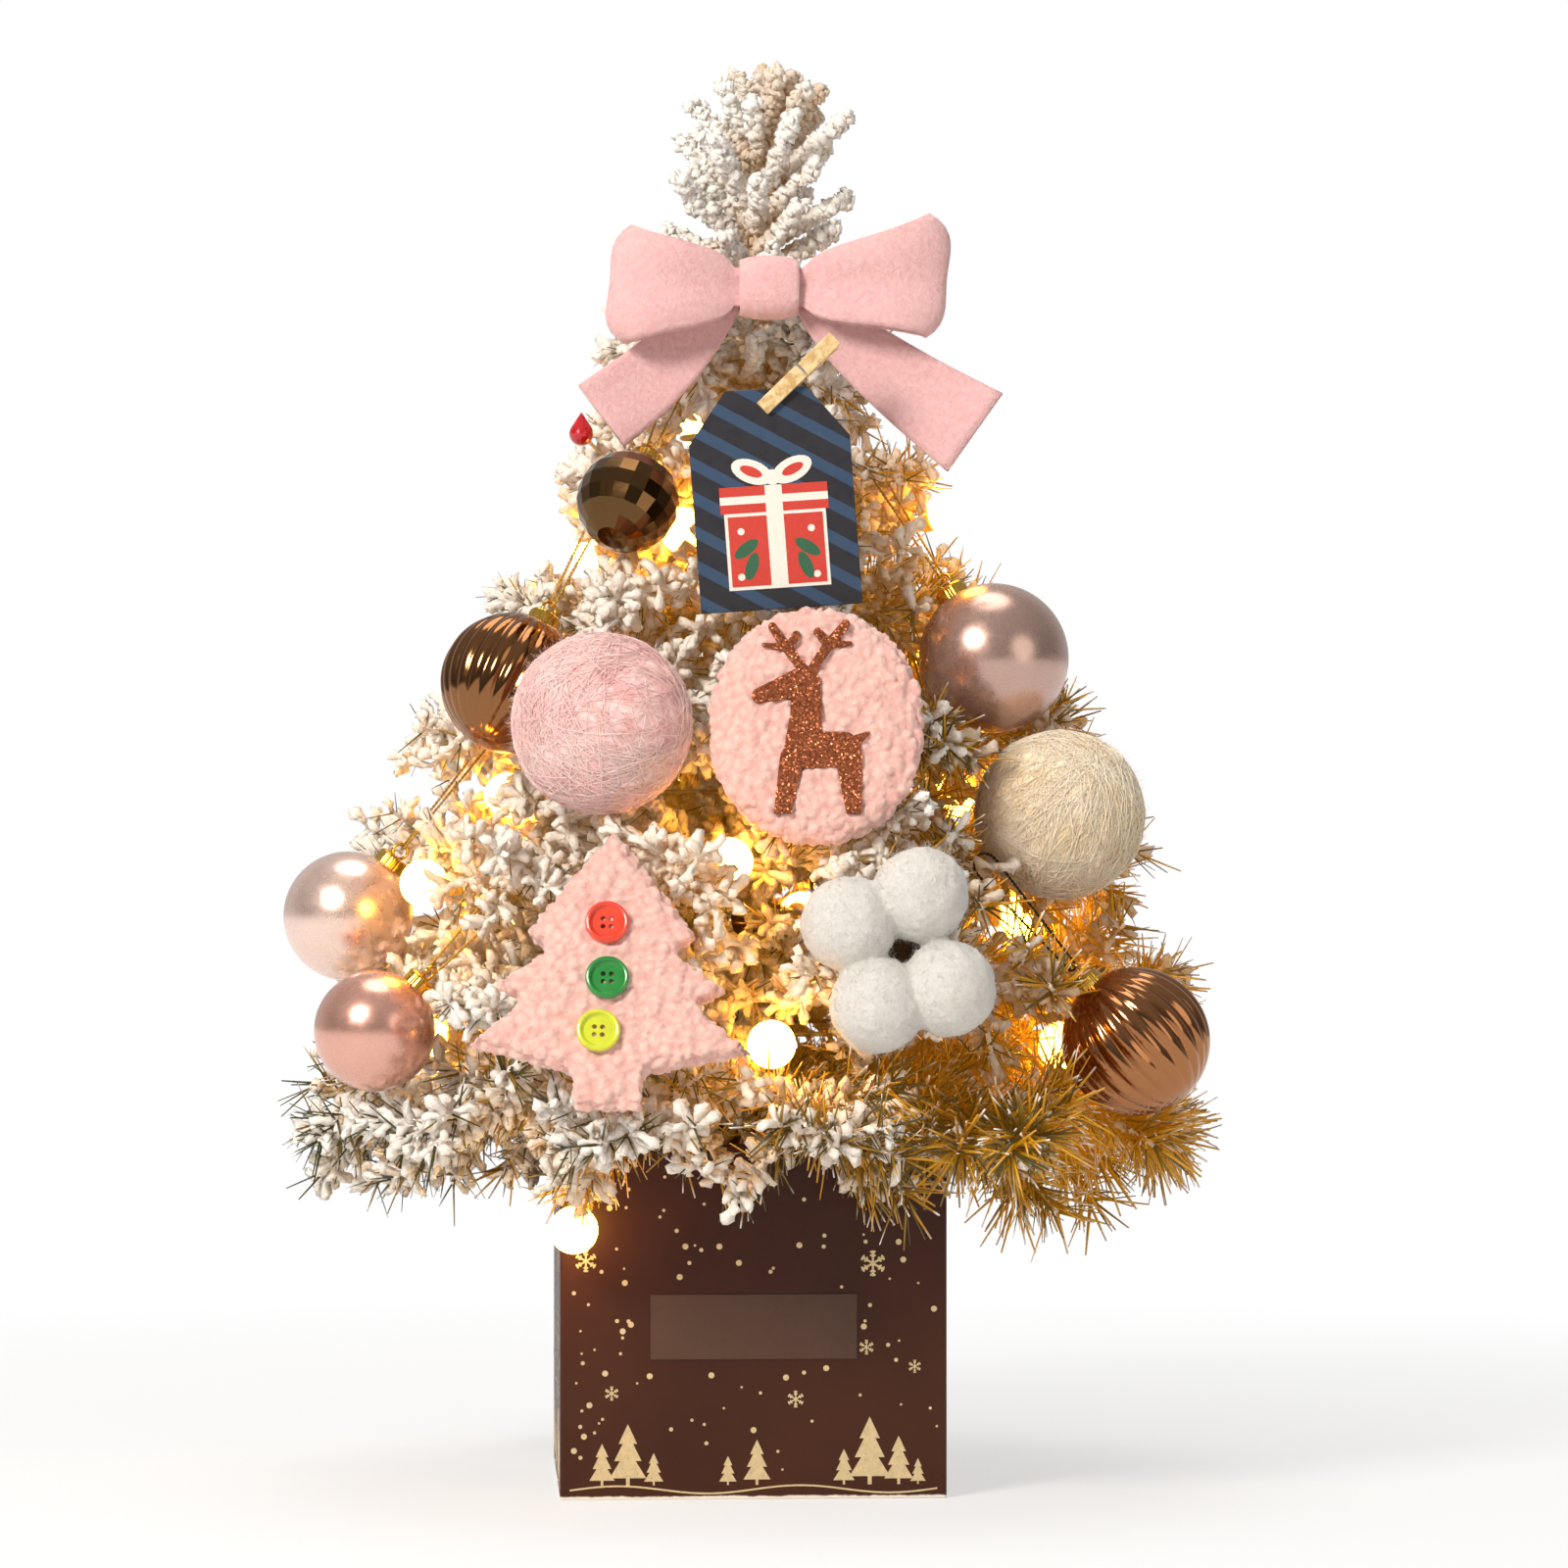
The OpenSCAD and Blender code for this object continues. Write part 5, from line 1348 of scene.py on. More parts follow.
        # Painted glow: the flock gives light near the globes, and a little where the painted warmth
        # lies
        shine = f.math("ADD", f.math("MULTIPLY", glow, 0.15), f.math("MULTIPLY", warm, 0.05))
        f.light(ink("flock_light"), shine)
        height = f.math("ADD", fluff, f.math("MULTIPLY", f.cells(620), -0.7))
        return f.bump(height, 0.7, 0.7).material


# Light string

# Radius, turn and height where the wire leaves the foam, and how far it first goes up
WIRE_START, WIRE_RISE = (23, 84, 103.65), 14
# The angle of its last winding, and how far a lead ends before its globe
LAST_TURN, SOCKET_LENGTH = 300, 7
# A socket's profile of radius and height
SOCKET = ((1.1, 0), (1.9, 0.4), (2.2, 2.6), (2.2, 4.2), (3.0, 4.4), (3.2, 5), (2.95, 5.4), (3.3, 5.9),
          (3.05, 6.4), (3.4, 6.9), (3.4, 8.2), (3.0, 8.7), (1.5, 8.8))


class TREE_OT_lights(bpy.types.Operator):
    """Light string with its globes and sockets, and the battery case that feeds it"""
    bl_idname = "tree.lights"
    bl_label = "Light string"

    def execute(self, context):
        self.wire()
        self.globes_and_sockets()
        case = plain("case plastic", ink("case"), 0.45, 700, 0.03, 0.05)
        coat(case, "battery_case", "battery_cover")
        coat(plain("cell jacket", ink("cell"), 0.35, 500, 0.02, Metallic=0.4), "battery_cells")
        coat(spring_steel(), "battery_contacts")
        coat(plain("switch black", ink("switch"), 0.5, 900, 0.04), "switch_slider")
        return {"FINISHED"}

    def wire(self):
        def climb(i, az):
            """The next gap between branches in which the wire can climb."""
            step = 360 / TIER_COUNTS[i]
            first = TIER_TURNS[i] + step / 2
            return first + step * math.floor((az + 360 - first) / step)

        starts = [WIRE_START[1]]
        for g in range(1, LAST_TIER):
            starts.append(climb(g, starts[-1]))
        start = polar(*WIRE_START)
        line = [start, start + np.array((0, 0, WIRE_RISE))]
        for g in range(LAST_TIER):
            end = starts[g] + LAST_TURN if g == LAST_TIER - 1 else starts[g + 1]
            r = wind_r(g)
            line += [polar(r, az, gap_z(g, r)) for az in np.linspace(starts[g], end, 64)]
        lines = [line]
        for at, g in all_lights():
            root = lead_start(at, g)
            end = at - unit(at - root) * (size("globe") + SOCKET_LENGTH)
            lines.append([lerp(root, end, t) for t in np.linspace(0.01, 1, 8)])
        f = Finish("light wire", ink("wire"), Roughness=0.4)
        f.mottle(f.noise(160, 3), 0.35, 0.65, 0.5).bump(f.noise(1800, 2), 0.4, 0.05)
        piece = tubes("light_string_wire", lines, size("wire"), 8, f.material)
        seat(piece, replaces=("light_wire",))

    def globes_and_sockets(self):
        r = size("globe")
        globe = [(r * math.sin(a), -r * math.cos(a)) for a in np.radians(np.linspace(22, 176, 15))]
        globe = [(r * 0.3, -r - 0.4), (r * 0.36, -r + 0.1)] + globe
        holder = [(a, b - r - 6.95) for a, b in SOCKET]
        places = [(at, Vector(at - lead_start(at, g)).to_track_quat("Z", "Y"), 1)
                  for at, g in all_lights()]
        f = Finish("frosted globe", ink("globe"), Roughness=0.5)
        f.paint(f.spread(f.noise(300, 3), 0.3, 0.7), ink("globe_warm"), ink("globe_pale"))
        f.light(ink("glow"), 20.0)
        piece = copies("globes", loft(lathe(globe, 24)), places, f.material)
        seat(piece, replaces=("light_globes",))
        f = Finish("light socket", ink("socket"), Roughness=0.35)
        f.mottle(f.noise(420, 3), 0.3, 0.7, 0.75)
        f.light(ink("socket_light"), 0.35).bump(f.noise(1200, 2), 0.3, 0.05)
        piece = copies("sockets", loft(lathe(holder, 20)), places, f.material)
        seat(piece, replaces=("light_sockets",))


# Felt bow

def felt_finish(name, colour, dark):
    """Pressed wool felt: matted fibres, soft sheen."""
    f = Finish(name, colour, Roughness=0.95, Sheen_Weight=0.35, Sheen_Roughness=0.5)
    mat = f.noise(620, 5, 0.65, twist=0.6)
    tone = f.mix(f.spread(mat, 0.36, 0.62), dark, colour)
    f.paint(f.spread(f.noise(90, 3), 0.3, 0.75, 0.0, 0.35), tone, toned(colour, 1.06))
    return f.bump(mat, 0.8, 0.7).material


# Stops along the tails: across, up, back, half width
TAIL_STOPS = np.array((
    (-52, -40, -3.2, 12), (-40, -31, -0.2, 11.5), (-28, -20, 1.6, 10), (-18, -9, 1.4, 7.5),
    (-11, -0.8, 0.1, 4.4), (-4, 0, 0, 4.5), (4, 0, 0, 4.5), (11, -0.8, 0.1, 4.4),
    (18, -9, 1.4, 7.5), (30, -20, 1.4, 10), (47, -33, -1.2, 12.5), (64, -45, -7.2, 15)))
# How far the tails lie behind the knot's middle, and the knot's outer size and corner
TAIL_BACK = 3.2
KNOT_DEEP, KNOT_HIGH, KNOT_CORNER = 15, 19, 5.4


class TREE_OT_bow(bpy.types.Operator):
    """Felt bow: two loops, a strip with two tails and the wrapped knot"""
    bl_idname = "tree.bow"
    bl_label = "Felt bow"

    def execute(self, context):
        self.felt = felt_finish("felt", ink("felt"), ink("felt_dark"))
        self.loop("bow_loop_left", side=-1, length=47, lift=1, half_h=18)
        self.loop("bow_loop_right", side=1, length=53, lift=4, half_h=18)
        self.tails()
        self.knot()
        return {"FINISHED"}

    def cut(self, name, grid, flat, node, held, rests, wrapped=False):
        """A piece of felt from its middle surface; its flat size is not used."""
        points, faces = thick_sheet(grid, size("felt"), wrapped)
        piece = made(name, (points + KNOT, faces), self.felt)
        seat(piece, replaces=(node,))

    def loop(self, name, side, length, lift, half_h):
        felt = size("felt")
        root, waist = 3, 12

        def out(a):
            return root + length * (math.cos(a) + 1) / 2

        def flare(a):
            return max(0, (out(a) - waist) / (root + length - waist))

        def middle(a):
            s = abs(math.sin(a))
            bulge = (8 if a < 0 else 1.5) * s * math.sqrt(flare(a))
            depth = -0.75 * felt + (-1 if a < 0 else 1) * ((felt / 2 + 0.4) * min(1, 8 * s) + bulge)
            return np.array((side * out(a), depth, lift * flare(a)))

        grid = []
        for a in np.radians(np.linspace(-170, 170, 61)):
            share = flare(a)
            wide = lerp(6, half_h, share ** 0.45)
            row = []
            for v in np.linspace(-1, 1, 17):
                fold = 0.4 * felt / 2 * (1 - share) * math.cos(math.radians(270) * v)
                wave = 0.8 * math.sin(2.2 * v + side)
                wave += 3.6 * (1 - share) * math.cos(4.7 * v + 0.4 * side)
                p = middle(a) + np.array((0, 0, wide * v))
                p[0] -= side * 8.5 * share ** 2 * abs(v) ** 3.6
                p[0] -= side * 1.6 * share ** 2 * math.cos(2.6 * v + 0.6 * side)
                p[1] += fold + wave * share * math.cos(a / 2)
                p[2] += 1.3 * share * math.sin(0.11 * abs(p[0]) + 1.4 * v)
                row.append(p)
            grid.append(row)
        self.cut(name, grid, (2 * half_h, 2 * length + 6), "bow_loops", "folded", ["bow_wrap"])

    def tails(self):
        stops = np.arange(len(TAIL_STOPS))
        fine = np.linspace(0, len(TAIL_STOPS) - 1, 78)
        path = np.stack([np.interp(fine, stops, TAIL_STOPS[:, k]) for k in range(4)], 1)
        for _ in range(6):
            path[1:-1] = 0.25 * path[:-2] + 0.5 * path[1:-1] + 0.25 * path[2:]
        grid = []
        for k, (x, z, y, wide) in enumerate(path):
            ahead = path[min(len(path) - 1, k + 1)] - path[max(0, k - 1)]
            across = unit((-ahead[1], 0, ahead[0]))
            row = []
            for v in np.linspace(-1, 1, 13):
                ripple = 0.5 * math.sin(3 * v + 0.18 * k) * min(1, abs(x) / 40)
                row.append(np.array((x, y + TAIL_BACK + ripple, z)) + across * wide * v)
            grid.append(row)
        self.cut("bow_tail_strip", grid, (30, 172), "bow_tails", "gathered", ["bow_wrap"])

    def knot(self):
        felt = size("felt")
        deep, high, corner = KNOT_DEEP - felt, KNOT_HIGH - felt, KNOT_CORNER
        y, z = deep / 2 - corner, high / 2 - corner
        outline = [(cy + corner * math.cos(a), cz + corner * math.sin(a))
                   for k, (cy, cz) in enumerate(((y, z), (-y, z), (-y, -z), (y, -z)))
                   for a in np.radians(np.linspace(90 * k, 90 * k + 90, 9))]
        grid = []
        for y, z in outline:
            row = []
            for v in np.linspace(-1, 1, 13):
                swell = 0.94 + 0.12 * (1 - v * v)
                pucker = 0.45 * math.sin(4.2 * v + 0.5 * z - 1) * (1 - abs(v)) if y < 0 else 0
                across = 9.5 * v * (1 - 0.05 * abs(z) / 9)
                row.append((across, y * swell + pucker, z * (swell - 0.05 * abs(v) ** 3)))
            grid.append(row)
        flat = (19, 2 * (deep + high))
        self.cut("bow_wrap", grid, flat, "bow_knot", "folded", ["bow_loop_left"], True)


# Tag and clothes-peg

# Half width of the tag's top edge, the height of its cut corners and the size of its UV square
TAG_TOP, TAG_CORNER, UV_SIZE = 12.5, 16, 100


class TREE_OT_tag(bpy.types.Operator):
    """Striped card tag with a printed parcel, and the clothes-peg that grips it"""
    bl_idname = "tree.tag"
    bl_label = "Tag and clothes-peg"

    def execute(self, context):
        self.card()
        self.parcel()
        self.peg()
        return {"FINISHED"}

    def card(self):
        w, h, t = size("tag_width") / 2, size("tag_height") / 2, size("tag_board") / 2
        outline = [(-w, -h), (w, -h), (w, h - TAG_CORNER), (TAG_TOP, h), (-TAG_TOP, h),
                   (-w, h - TAG_CORNER)]
        rings = [[(x * s, y * s, z) for x, y in outline]
                 for s, z in ((0.995, -t), (1, -0.6 * t), (1, 0.6 * t), (0.995, t))]
        points, faces = loft(rings)
        mesh = mesh_of("tag_card", through(TAG, points), faces)
        layer = mesh.uv_layers.new(name="card")
        for loop in mesh.loops:
            x, y, _ = points[loop.vertex_index]
            layer.data[loop.index].uv = (x / UV_SIZE, y / UV_SIZE)
        f = Finish("tag card", ink("card"), Coat_Weight=0.08)
        uv = put(f.tree, "ShaderNodeUVMap", uv_map="card")
        parts = add(f.tree, "ShaderNodeSeparateXYZ", {0: uv})
        slant = f.math("ADD", f.math("MULTIPLY", parts.outputs["X"], 0.62), parts.outputs["Y"])
        phase = f.math("FRACT", f.math("MULTIPLY", slant, 9.3))
        band = f.math("MULTIPLY", f.spread(phase, 0.56, 0.58), f.spread(phase, 0.96, 0.94))
        grain = f.noise(1700, 4)
        ground, stripe = (
            f.mix(f.spread(grain, 0.3, 0.7), toned(ink(name), dark), ink(name))
            for name, dark in (("card", 0.85), ("stripe", 0.88)))
        f.paint(band, ground, stripe).gloss(300, 0.42, 0.6).bump(grain, 0.3, 0.04)
        seat(shown("tag_card", mesh, f.material, smooth=False), replaces=("gift_tag",))

    def parcel(self):
        """A printed parcel with a bow, in three colours laid over each other."""
        face = size("tag_board") / 2
        layers = {"red": [], "cream": [], "green": []}

        def layer(colour, outline, lift):
            low = [(x, y, face - 0.05) for x, y in outline]
            high = [(x, y, face + lift) for x, y in outline]
            points, faces = loft([low, high])
            layers[colour].append((through(TAG, points), faces))

        def oval(x, y, a, b, turn=0.0, n=20):
            c, s = math.cos(math.radians(turn)), math.sin(math.radians(turn))
            return [(x + a * math.cos(q) * c - b * math.sin(q) * s,
                     y + a * math.cos(q) * s + b * math.sin(q) * c)
                    for q in np.linspace(0, math.tau, n, False)]

        def box(x0, y0, x1, y1):
            return [(x0, y0), (x1, y0), (x1, y1), (x0, y1)]

        layer("cream", box(-15.6, -27.6, 15.6, 3.2), 0.03)
        layer("red", box(-14.6, -26.6, 14.6, -5), 0.06)
        layer("red", box(-16.6, -4, 16.6, 4.2), 0.07)
        layer("cream", box(-2.6, -26.6, 2.6, 4.2), 0.1)
        layer("cream", box(-16.6, -1.2, 16.6, 1.2), 0.09)
        for side in (-1, 1):
            layer("cream", oval(side * 6.2, 8.6, 6.6, 3.6, side * 24), 0.08)
            layer("red", oval(side * 6.4, 8.7, 3.6, 1.5, side * 24), 0.11)
        layer("cream", oval(0, 6.6, 2.6, 2.4), 0.13)
        for x, y, turn in ((-9.5, -15, 35), (9.3, -15.5, 145), (-8.2, -20.5, 70), (8.4, -21, 110)):
            layer("green", oval(x, y, 4.4, 1.9, turn), 0.1)
        for x, y in ((-10.8, -9.6), (10.8, -9.8), (-11.6, -23.6), (11.6, -24)):
            layer("cream", oval(x, y, 1.1, 1.1, 0, 12), 0.1)
        for colour, parts in layers.items():
            mat = plain(f"{colour} print", ink("print_" + colour), 0.5, 1500, 0.03, 0.08)
            seat(made(f"tag_print_{colour}", merged(parts), mat, smooth=False))

    def peg(self):
        f = Finish("peg wood", ink("wood"), Roughness=0.55)
        ring = f.noise(1.0, 4, 0.6, at=f.stretched((260, 900, 260)), twist=0.4)
        fleck = f.noise(1.0, 2, at=f.stretched((500, 2600, 500)))
        tone = f.mix(f.spread(ring, 0.42, 0.62), ink("wood"), ink("wood_grain"))
        f.paint(f.spread(fleck, 0.6, 0.72, 0, 0.4), tone, toned(ink("wood_grain"), 0.6))
        f.bump(ring, 0.4, 0.08)
        for name, node, body in (("peg_lever_rear", "peg_rear_lever", TREE),
                                 ("peg_lever_front", "peg_front_lever", "peg_lever")):
            piece = shown(name, bevelled(node, 0.22), f.material, smooth=False)
            seat(piece, body, (node,))
        coat(spring_steel(), "peg_spring")


# Plush pads

# Cell and inset of a pad's skin, and the pressure and the furthest move of its stuffing
PAD_VOXEL, PAD_INSET = 1.5, 1.1
PAD_PRESSURE, PAD_PUFF = 4.0, 0.9
CURL_SEED = 7


def plush_finish():
    f = Finish("plush", ink("plush"), Roughness=1.0, Sheen_Weight=0.5, Sheen_Roughness=0.45)
    curl = f.noise(1500, 4, 0.6, twist=0.8)
    # Painted shade in the hollows kept in deep, and a painted highlight on the crests of the fine
    # curls
    tone = f.mix(f.own("deep"), ink("plush"), ink("plush_dark"))
    f.paint(f.spread(curl, 0.4, 0.75, 0, 0.3), tone, toned(ink("plush"), 1.15))
    return f.bump(curl, 0.8, 0.5).material


class TREE_OT_plush(bpy.types.Operator):
    """Curly plush pads with the glittered reindeer and the three buttons"""
    bl_idname = "tree.plush"
    bl_label = "Plush pads"

    def execute(self, context):
        # Without a seed, noise_vector would take one from the clock
        noise.seed_set(CURL_SEED)
        mat = plush_finish()
        self.pad("plush_round_pad", "plush_disc", mat, 0.8)
        self.pad("plush_tree_pad", "plush_tree", mat, 0.7)
        self.glitter()
        for colour in ("red", "green", "lime"):
            mat = plain(colour + " button", ink(colour), 0.28, 260, 0.02, 0.08, Coat_Weight=0.4)
            coat(mat, colour + "_button")
        return {"FINISHED"}

    def pad(self, name, node, mat, fill):
        mesh = remeshed(node, PAD_VOXEL, PAD_INSET)
        mesh = stuffed(mesh, PAD_PRESSURE, PAD_PUFF)
        mesh = modified(mesh, "SUBSURF", levels=1, render_levels=1)
        wide = size("curl")
        deep = []

        def curls(p, n):
            """Height of the plush, whose hollows are kept in deep for the painted shade."""
            wobble = noise.noise_vector(p / 2.4) * 1.3
            near = noise.voronoi((p + wobble) / wide)[0]
            small = noise.voronoi((p - wobble) / (0.45 * wide))[0]
            crest = max(0.0, 1 - (near[0] / 0.78) ** 2)
            hollow = (0.3 - (near[1] - near[0])) / 0.45 + 0.5 * small[0] - 0.2
            deep.append(min(1.0, max(0.0, hollow)))
            return 1.5 * crest - 0.5 + 0.7 * max(0.0, 0.6 - small[0]) + 0.35 * noise.noise(p / 1.1)

        mesh = pushed(mesh, curls)
        store(mesh, "deep", deep)
        piece = shown(name, mesh, mat)
        seat(piece, replaces=(node,))

    def glitter(self):
        f = Finish("copper glitter", ink("copper"), Metallic=0.75, Roughness=0.32)
        fleck = f.cells(2300, "Color")
        # Flecks run from dark to bright at random: partly the glitter's own mix, partly a painted
        # glint
        f.paint(fleck, toned(ink("copper"), 0.45), ink("copper_light"))

        def vector(operation, *values, **more):
            inputs = {**dict(enumerate(values)), **more}
            return put(f.tree, "ShaderNodeVectorMath", inputs, operation=operation)

        shift = vector("SCALE", vector("SUBTRACT", fleck, (0.5, 0.5, 0.5)), Scale=1.1)
        own = add(f.tree, "ShaderNodeNewGeometry").outputs["Normal"]
        f.set("Normal", vector("NORMALIZE", vector("ADD", own, shift)))
        piece = shown("reindeer_cutout", bevelled("reindeer", 0.3), f.material, smooth=False)
        seat(piece, replaces=("reindeer",))


# Cotton and fibre balls

# Centre and radius of each fibre ball, and the seed of its fibres
FIBRE_BALLS = {
    "pink": ((-48, -99, 240), 27, 71),
    "white": ((96, -52, 212), 26, 72),
}
STRANDS, WINDINGS, STRAND_RADIUS = 1200, 9, 0.13
FUZZ_RADIUS = 0.05


def strand_object(length):
    """A single fine strand, standing on Z."""
    turn = np.radians((0, 120, 240))
    rings = []
    for t in (0, 0.5, 1):
        r = FUZZ_RADIUS * lerp(1, 0.3, t)
        x = r * np.cos(turn) + 0.25 * length * t * t
        rings.append(np.stack((x, r * np.sin(turn), 0 * turn + length * t), 1))
    return bpy.data.objects.new("strand", mesh_of("strand", *loft(rings)))


def fuzz(name, mesh, material, length, density, lean, seed):
    """Strands over a mesh as a piece of their own."""
    group = bpy.data.node_groups.get("Fuzz on a surface") or fuzz_group()
    strand = strand_object(length)
    result = grown(name, linked(name + "_base", mesh.copy()), group, strand=strand, density=density,
                   lean=lean, seed=seed, material=material)
    drop(strand)
    return shown(name, result, material)


class TREE_OT_cotton(bpy.types.Operator):
    """Cotton flower: four fluffy bolls in a dry husk"""
    bl_idname = "tree.cotton"
    bl_label = "Cotton flower"

    def execute(self, context):
        f = Finish("cotton", ink("cotton"), Roughness=1.0, Sheen_Weight=0.15, Subsurface_Weight=0.15)
        f.set("Subsurface Radius", (0.004, 0.003, 0.002))
        wool = f.noise(700, 5, 0.65, twist=1.0)
        f.mottle(wool, 0.3, 0.6, 0.86).bump(wool, 0.6, 0.8)
        mesh = remeshed("cotton_bolls", 0.9)
        mesh = pushed(mesh, lambda p, n: 0.5 * noise.noise(p / 6) + 0.35 * noise.noise(p / 1.9) - 0.1)
        piece = shown("cotton_wool", mesh, f.material)
        seat(piece, replaces=("cotton_bolls",))
        down = fuzz("cotton_fuzz", mesh, f.material, length=2.0, density=4.5e5, lean=1.4, seed=5)
        seat(down)
        husk = Finish("husk", ink("husk"), Roughness=0.85)
        vein = husk.noise(1.0, 4, at=husk.stretched((700, 200, 700)))
        coat(husk.mottle(vein, 0.35, 0.65, 0.5).bump(vein, 0.7, 0.3).material, "cotton_husk")
        return {"FINISHED"}


class TREE_OT_fibre_balls(bpy.types.Operator):
    """Two balls wound with loose fibre"""
    bl_idname = "tree.fibre_balls"
    bl_label = "Fibre balls"

    def execute(self, context):
        for colour, (at, radius, seed) in FIBRE_BALLS.items():
            self.ball(colour, np.array(at, float), radius, seed)
        return {"FINISHED"}

    def ball(self, colour, at, radius, seed):
        name, label = colour + "_fibre", colour + " fibre"
        light, deep = ink(name), ink(colour + "_deep")
        f = Finish(label, light, Roughness=0.85, Sheen_Weight=0.3, Sheen_Roughness=0.4,
                   Specular_IOR_Level=0.2)
        streak = f.noise(120, 5, 0.6, twist=1.4)
        fine = f.noise(1300, 3)
        # Painted shade: the deep colour fills the hollows of the streaks, which the relief sinks;
        # painted highlight: paler fine fibres where the relief rises
        tone = f.mix(f.spread(streak, 0.36, 0.6), deep, light)
        f.paint(f.spread(fine, 0.5, 0.75, 0, 0.5), tone, toned(light, 1.12))
        f.bump(f.math("ADD", streak, f.math("MULTIPLY", fine, 0.4)), 0.4, 0.6)
        mesh = reworked(bpy.data.meshes.new(name), lambda work: bmesh.ops.create_icosphere(
            work, subdivisions=6, radius=radius * MM))
        mesh.transform(Matrix.Translation(Vector(at) * MM))
        mesh = pushed(mesh, lambda p, n: 0.7 * noise.noise(p / 9) + 0.5 * noise.noise(p / 3) - 0.35)
        seat(shown(name, mesh, f.material), replaces=(name + "_ball",))
        silk = Finish(label + " strand", light, Roughness=0.6, Sheen_Weight=0.3,
                      Specular_IOR_Level=0.3)
        dim = tuple(lerp(np.array(deep), np.array(light), 0.6))
        silk.paint(silk.spread(silk.noise(60, 3), 0.35, 0.6), dim, light)
        silk.bump(silk.noise(2600, 2), 0.3, 0.05)
        lines = self.strands(at, radius, seed)
        seat(tubes(name + "_strands", lines, STRAND_RADIUS, 3, silk.material))
        loose = fuzz(name + "_fuzz", mesh, f.material, length=3.2, density=3.2e5, lean=1.5, seed=seed)
        seat(loose)

    def strands(self, at, radius, seed):
        """Lines wound about a few axes, their ends tucked in."""
        rng = np.random.default_rng(seed)
        lines = []
        windings = [unit(rng.normal(size=3)) for _ in range(WINDINGS)]
        for k in range(STRANDS):
            axis = unit(windings[k % WINDINGS] + 0.4 * rng.normal(size=3))
            first = unit(np.cross(axis, rng.normal(size=3)))
            second = np.cross(axis, first)
            span = rng.uniform(0.9, 2.6)
            lift = rng.uniform(-0.1, 0.75)
            wander = rng.uniform(-0.25, 0.25)
            line = []
            for t in np.linspace(-0.5, 0.5, 10):
                d = unit(first * math.cos(span * t) + second * math.sin(span * t)
                         + axis * wander * t * t * 4)
                swell = 0.6 * noise.noise(Vector(at + d * radius) / 9)
                line.append(at + d * (radius + lift + swell - 2.2 * (2 * abs(t)) ** 6))
            lines.append(line)
        return lines


# Baubles

# Ribs of a ribbed ball and flutes of a cap
RIBS, FLUTES = 24, 22
# A cap's foot and top from the ball's top, and the ring and wire radius of its eye
CAP_SUNK, CAP_RISE = 1.3, 3.6
EYE_RING, EYE_WIRE = 2.4, 0.55
# A cord loop's radius at the branch and in the cap's eye, and the branch's wire inside it
LOOP_TOP, LOOP_FOOT, BRANCH_WIRE = 4.6, 1.7, 1.2
# Length of one twist of the cord
TWIST = 2.6


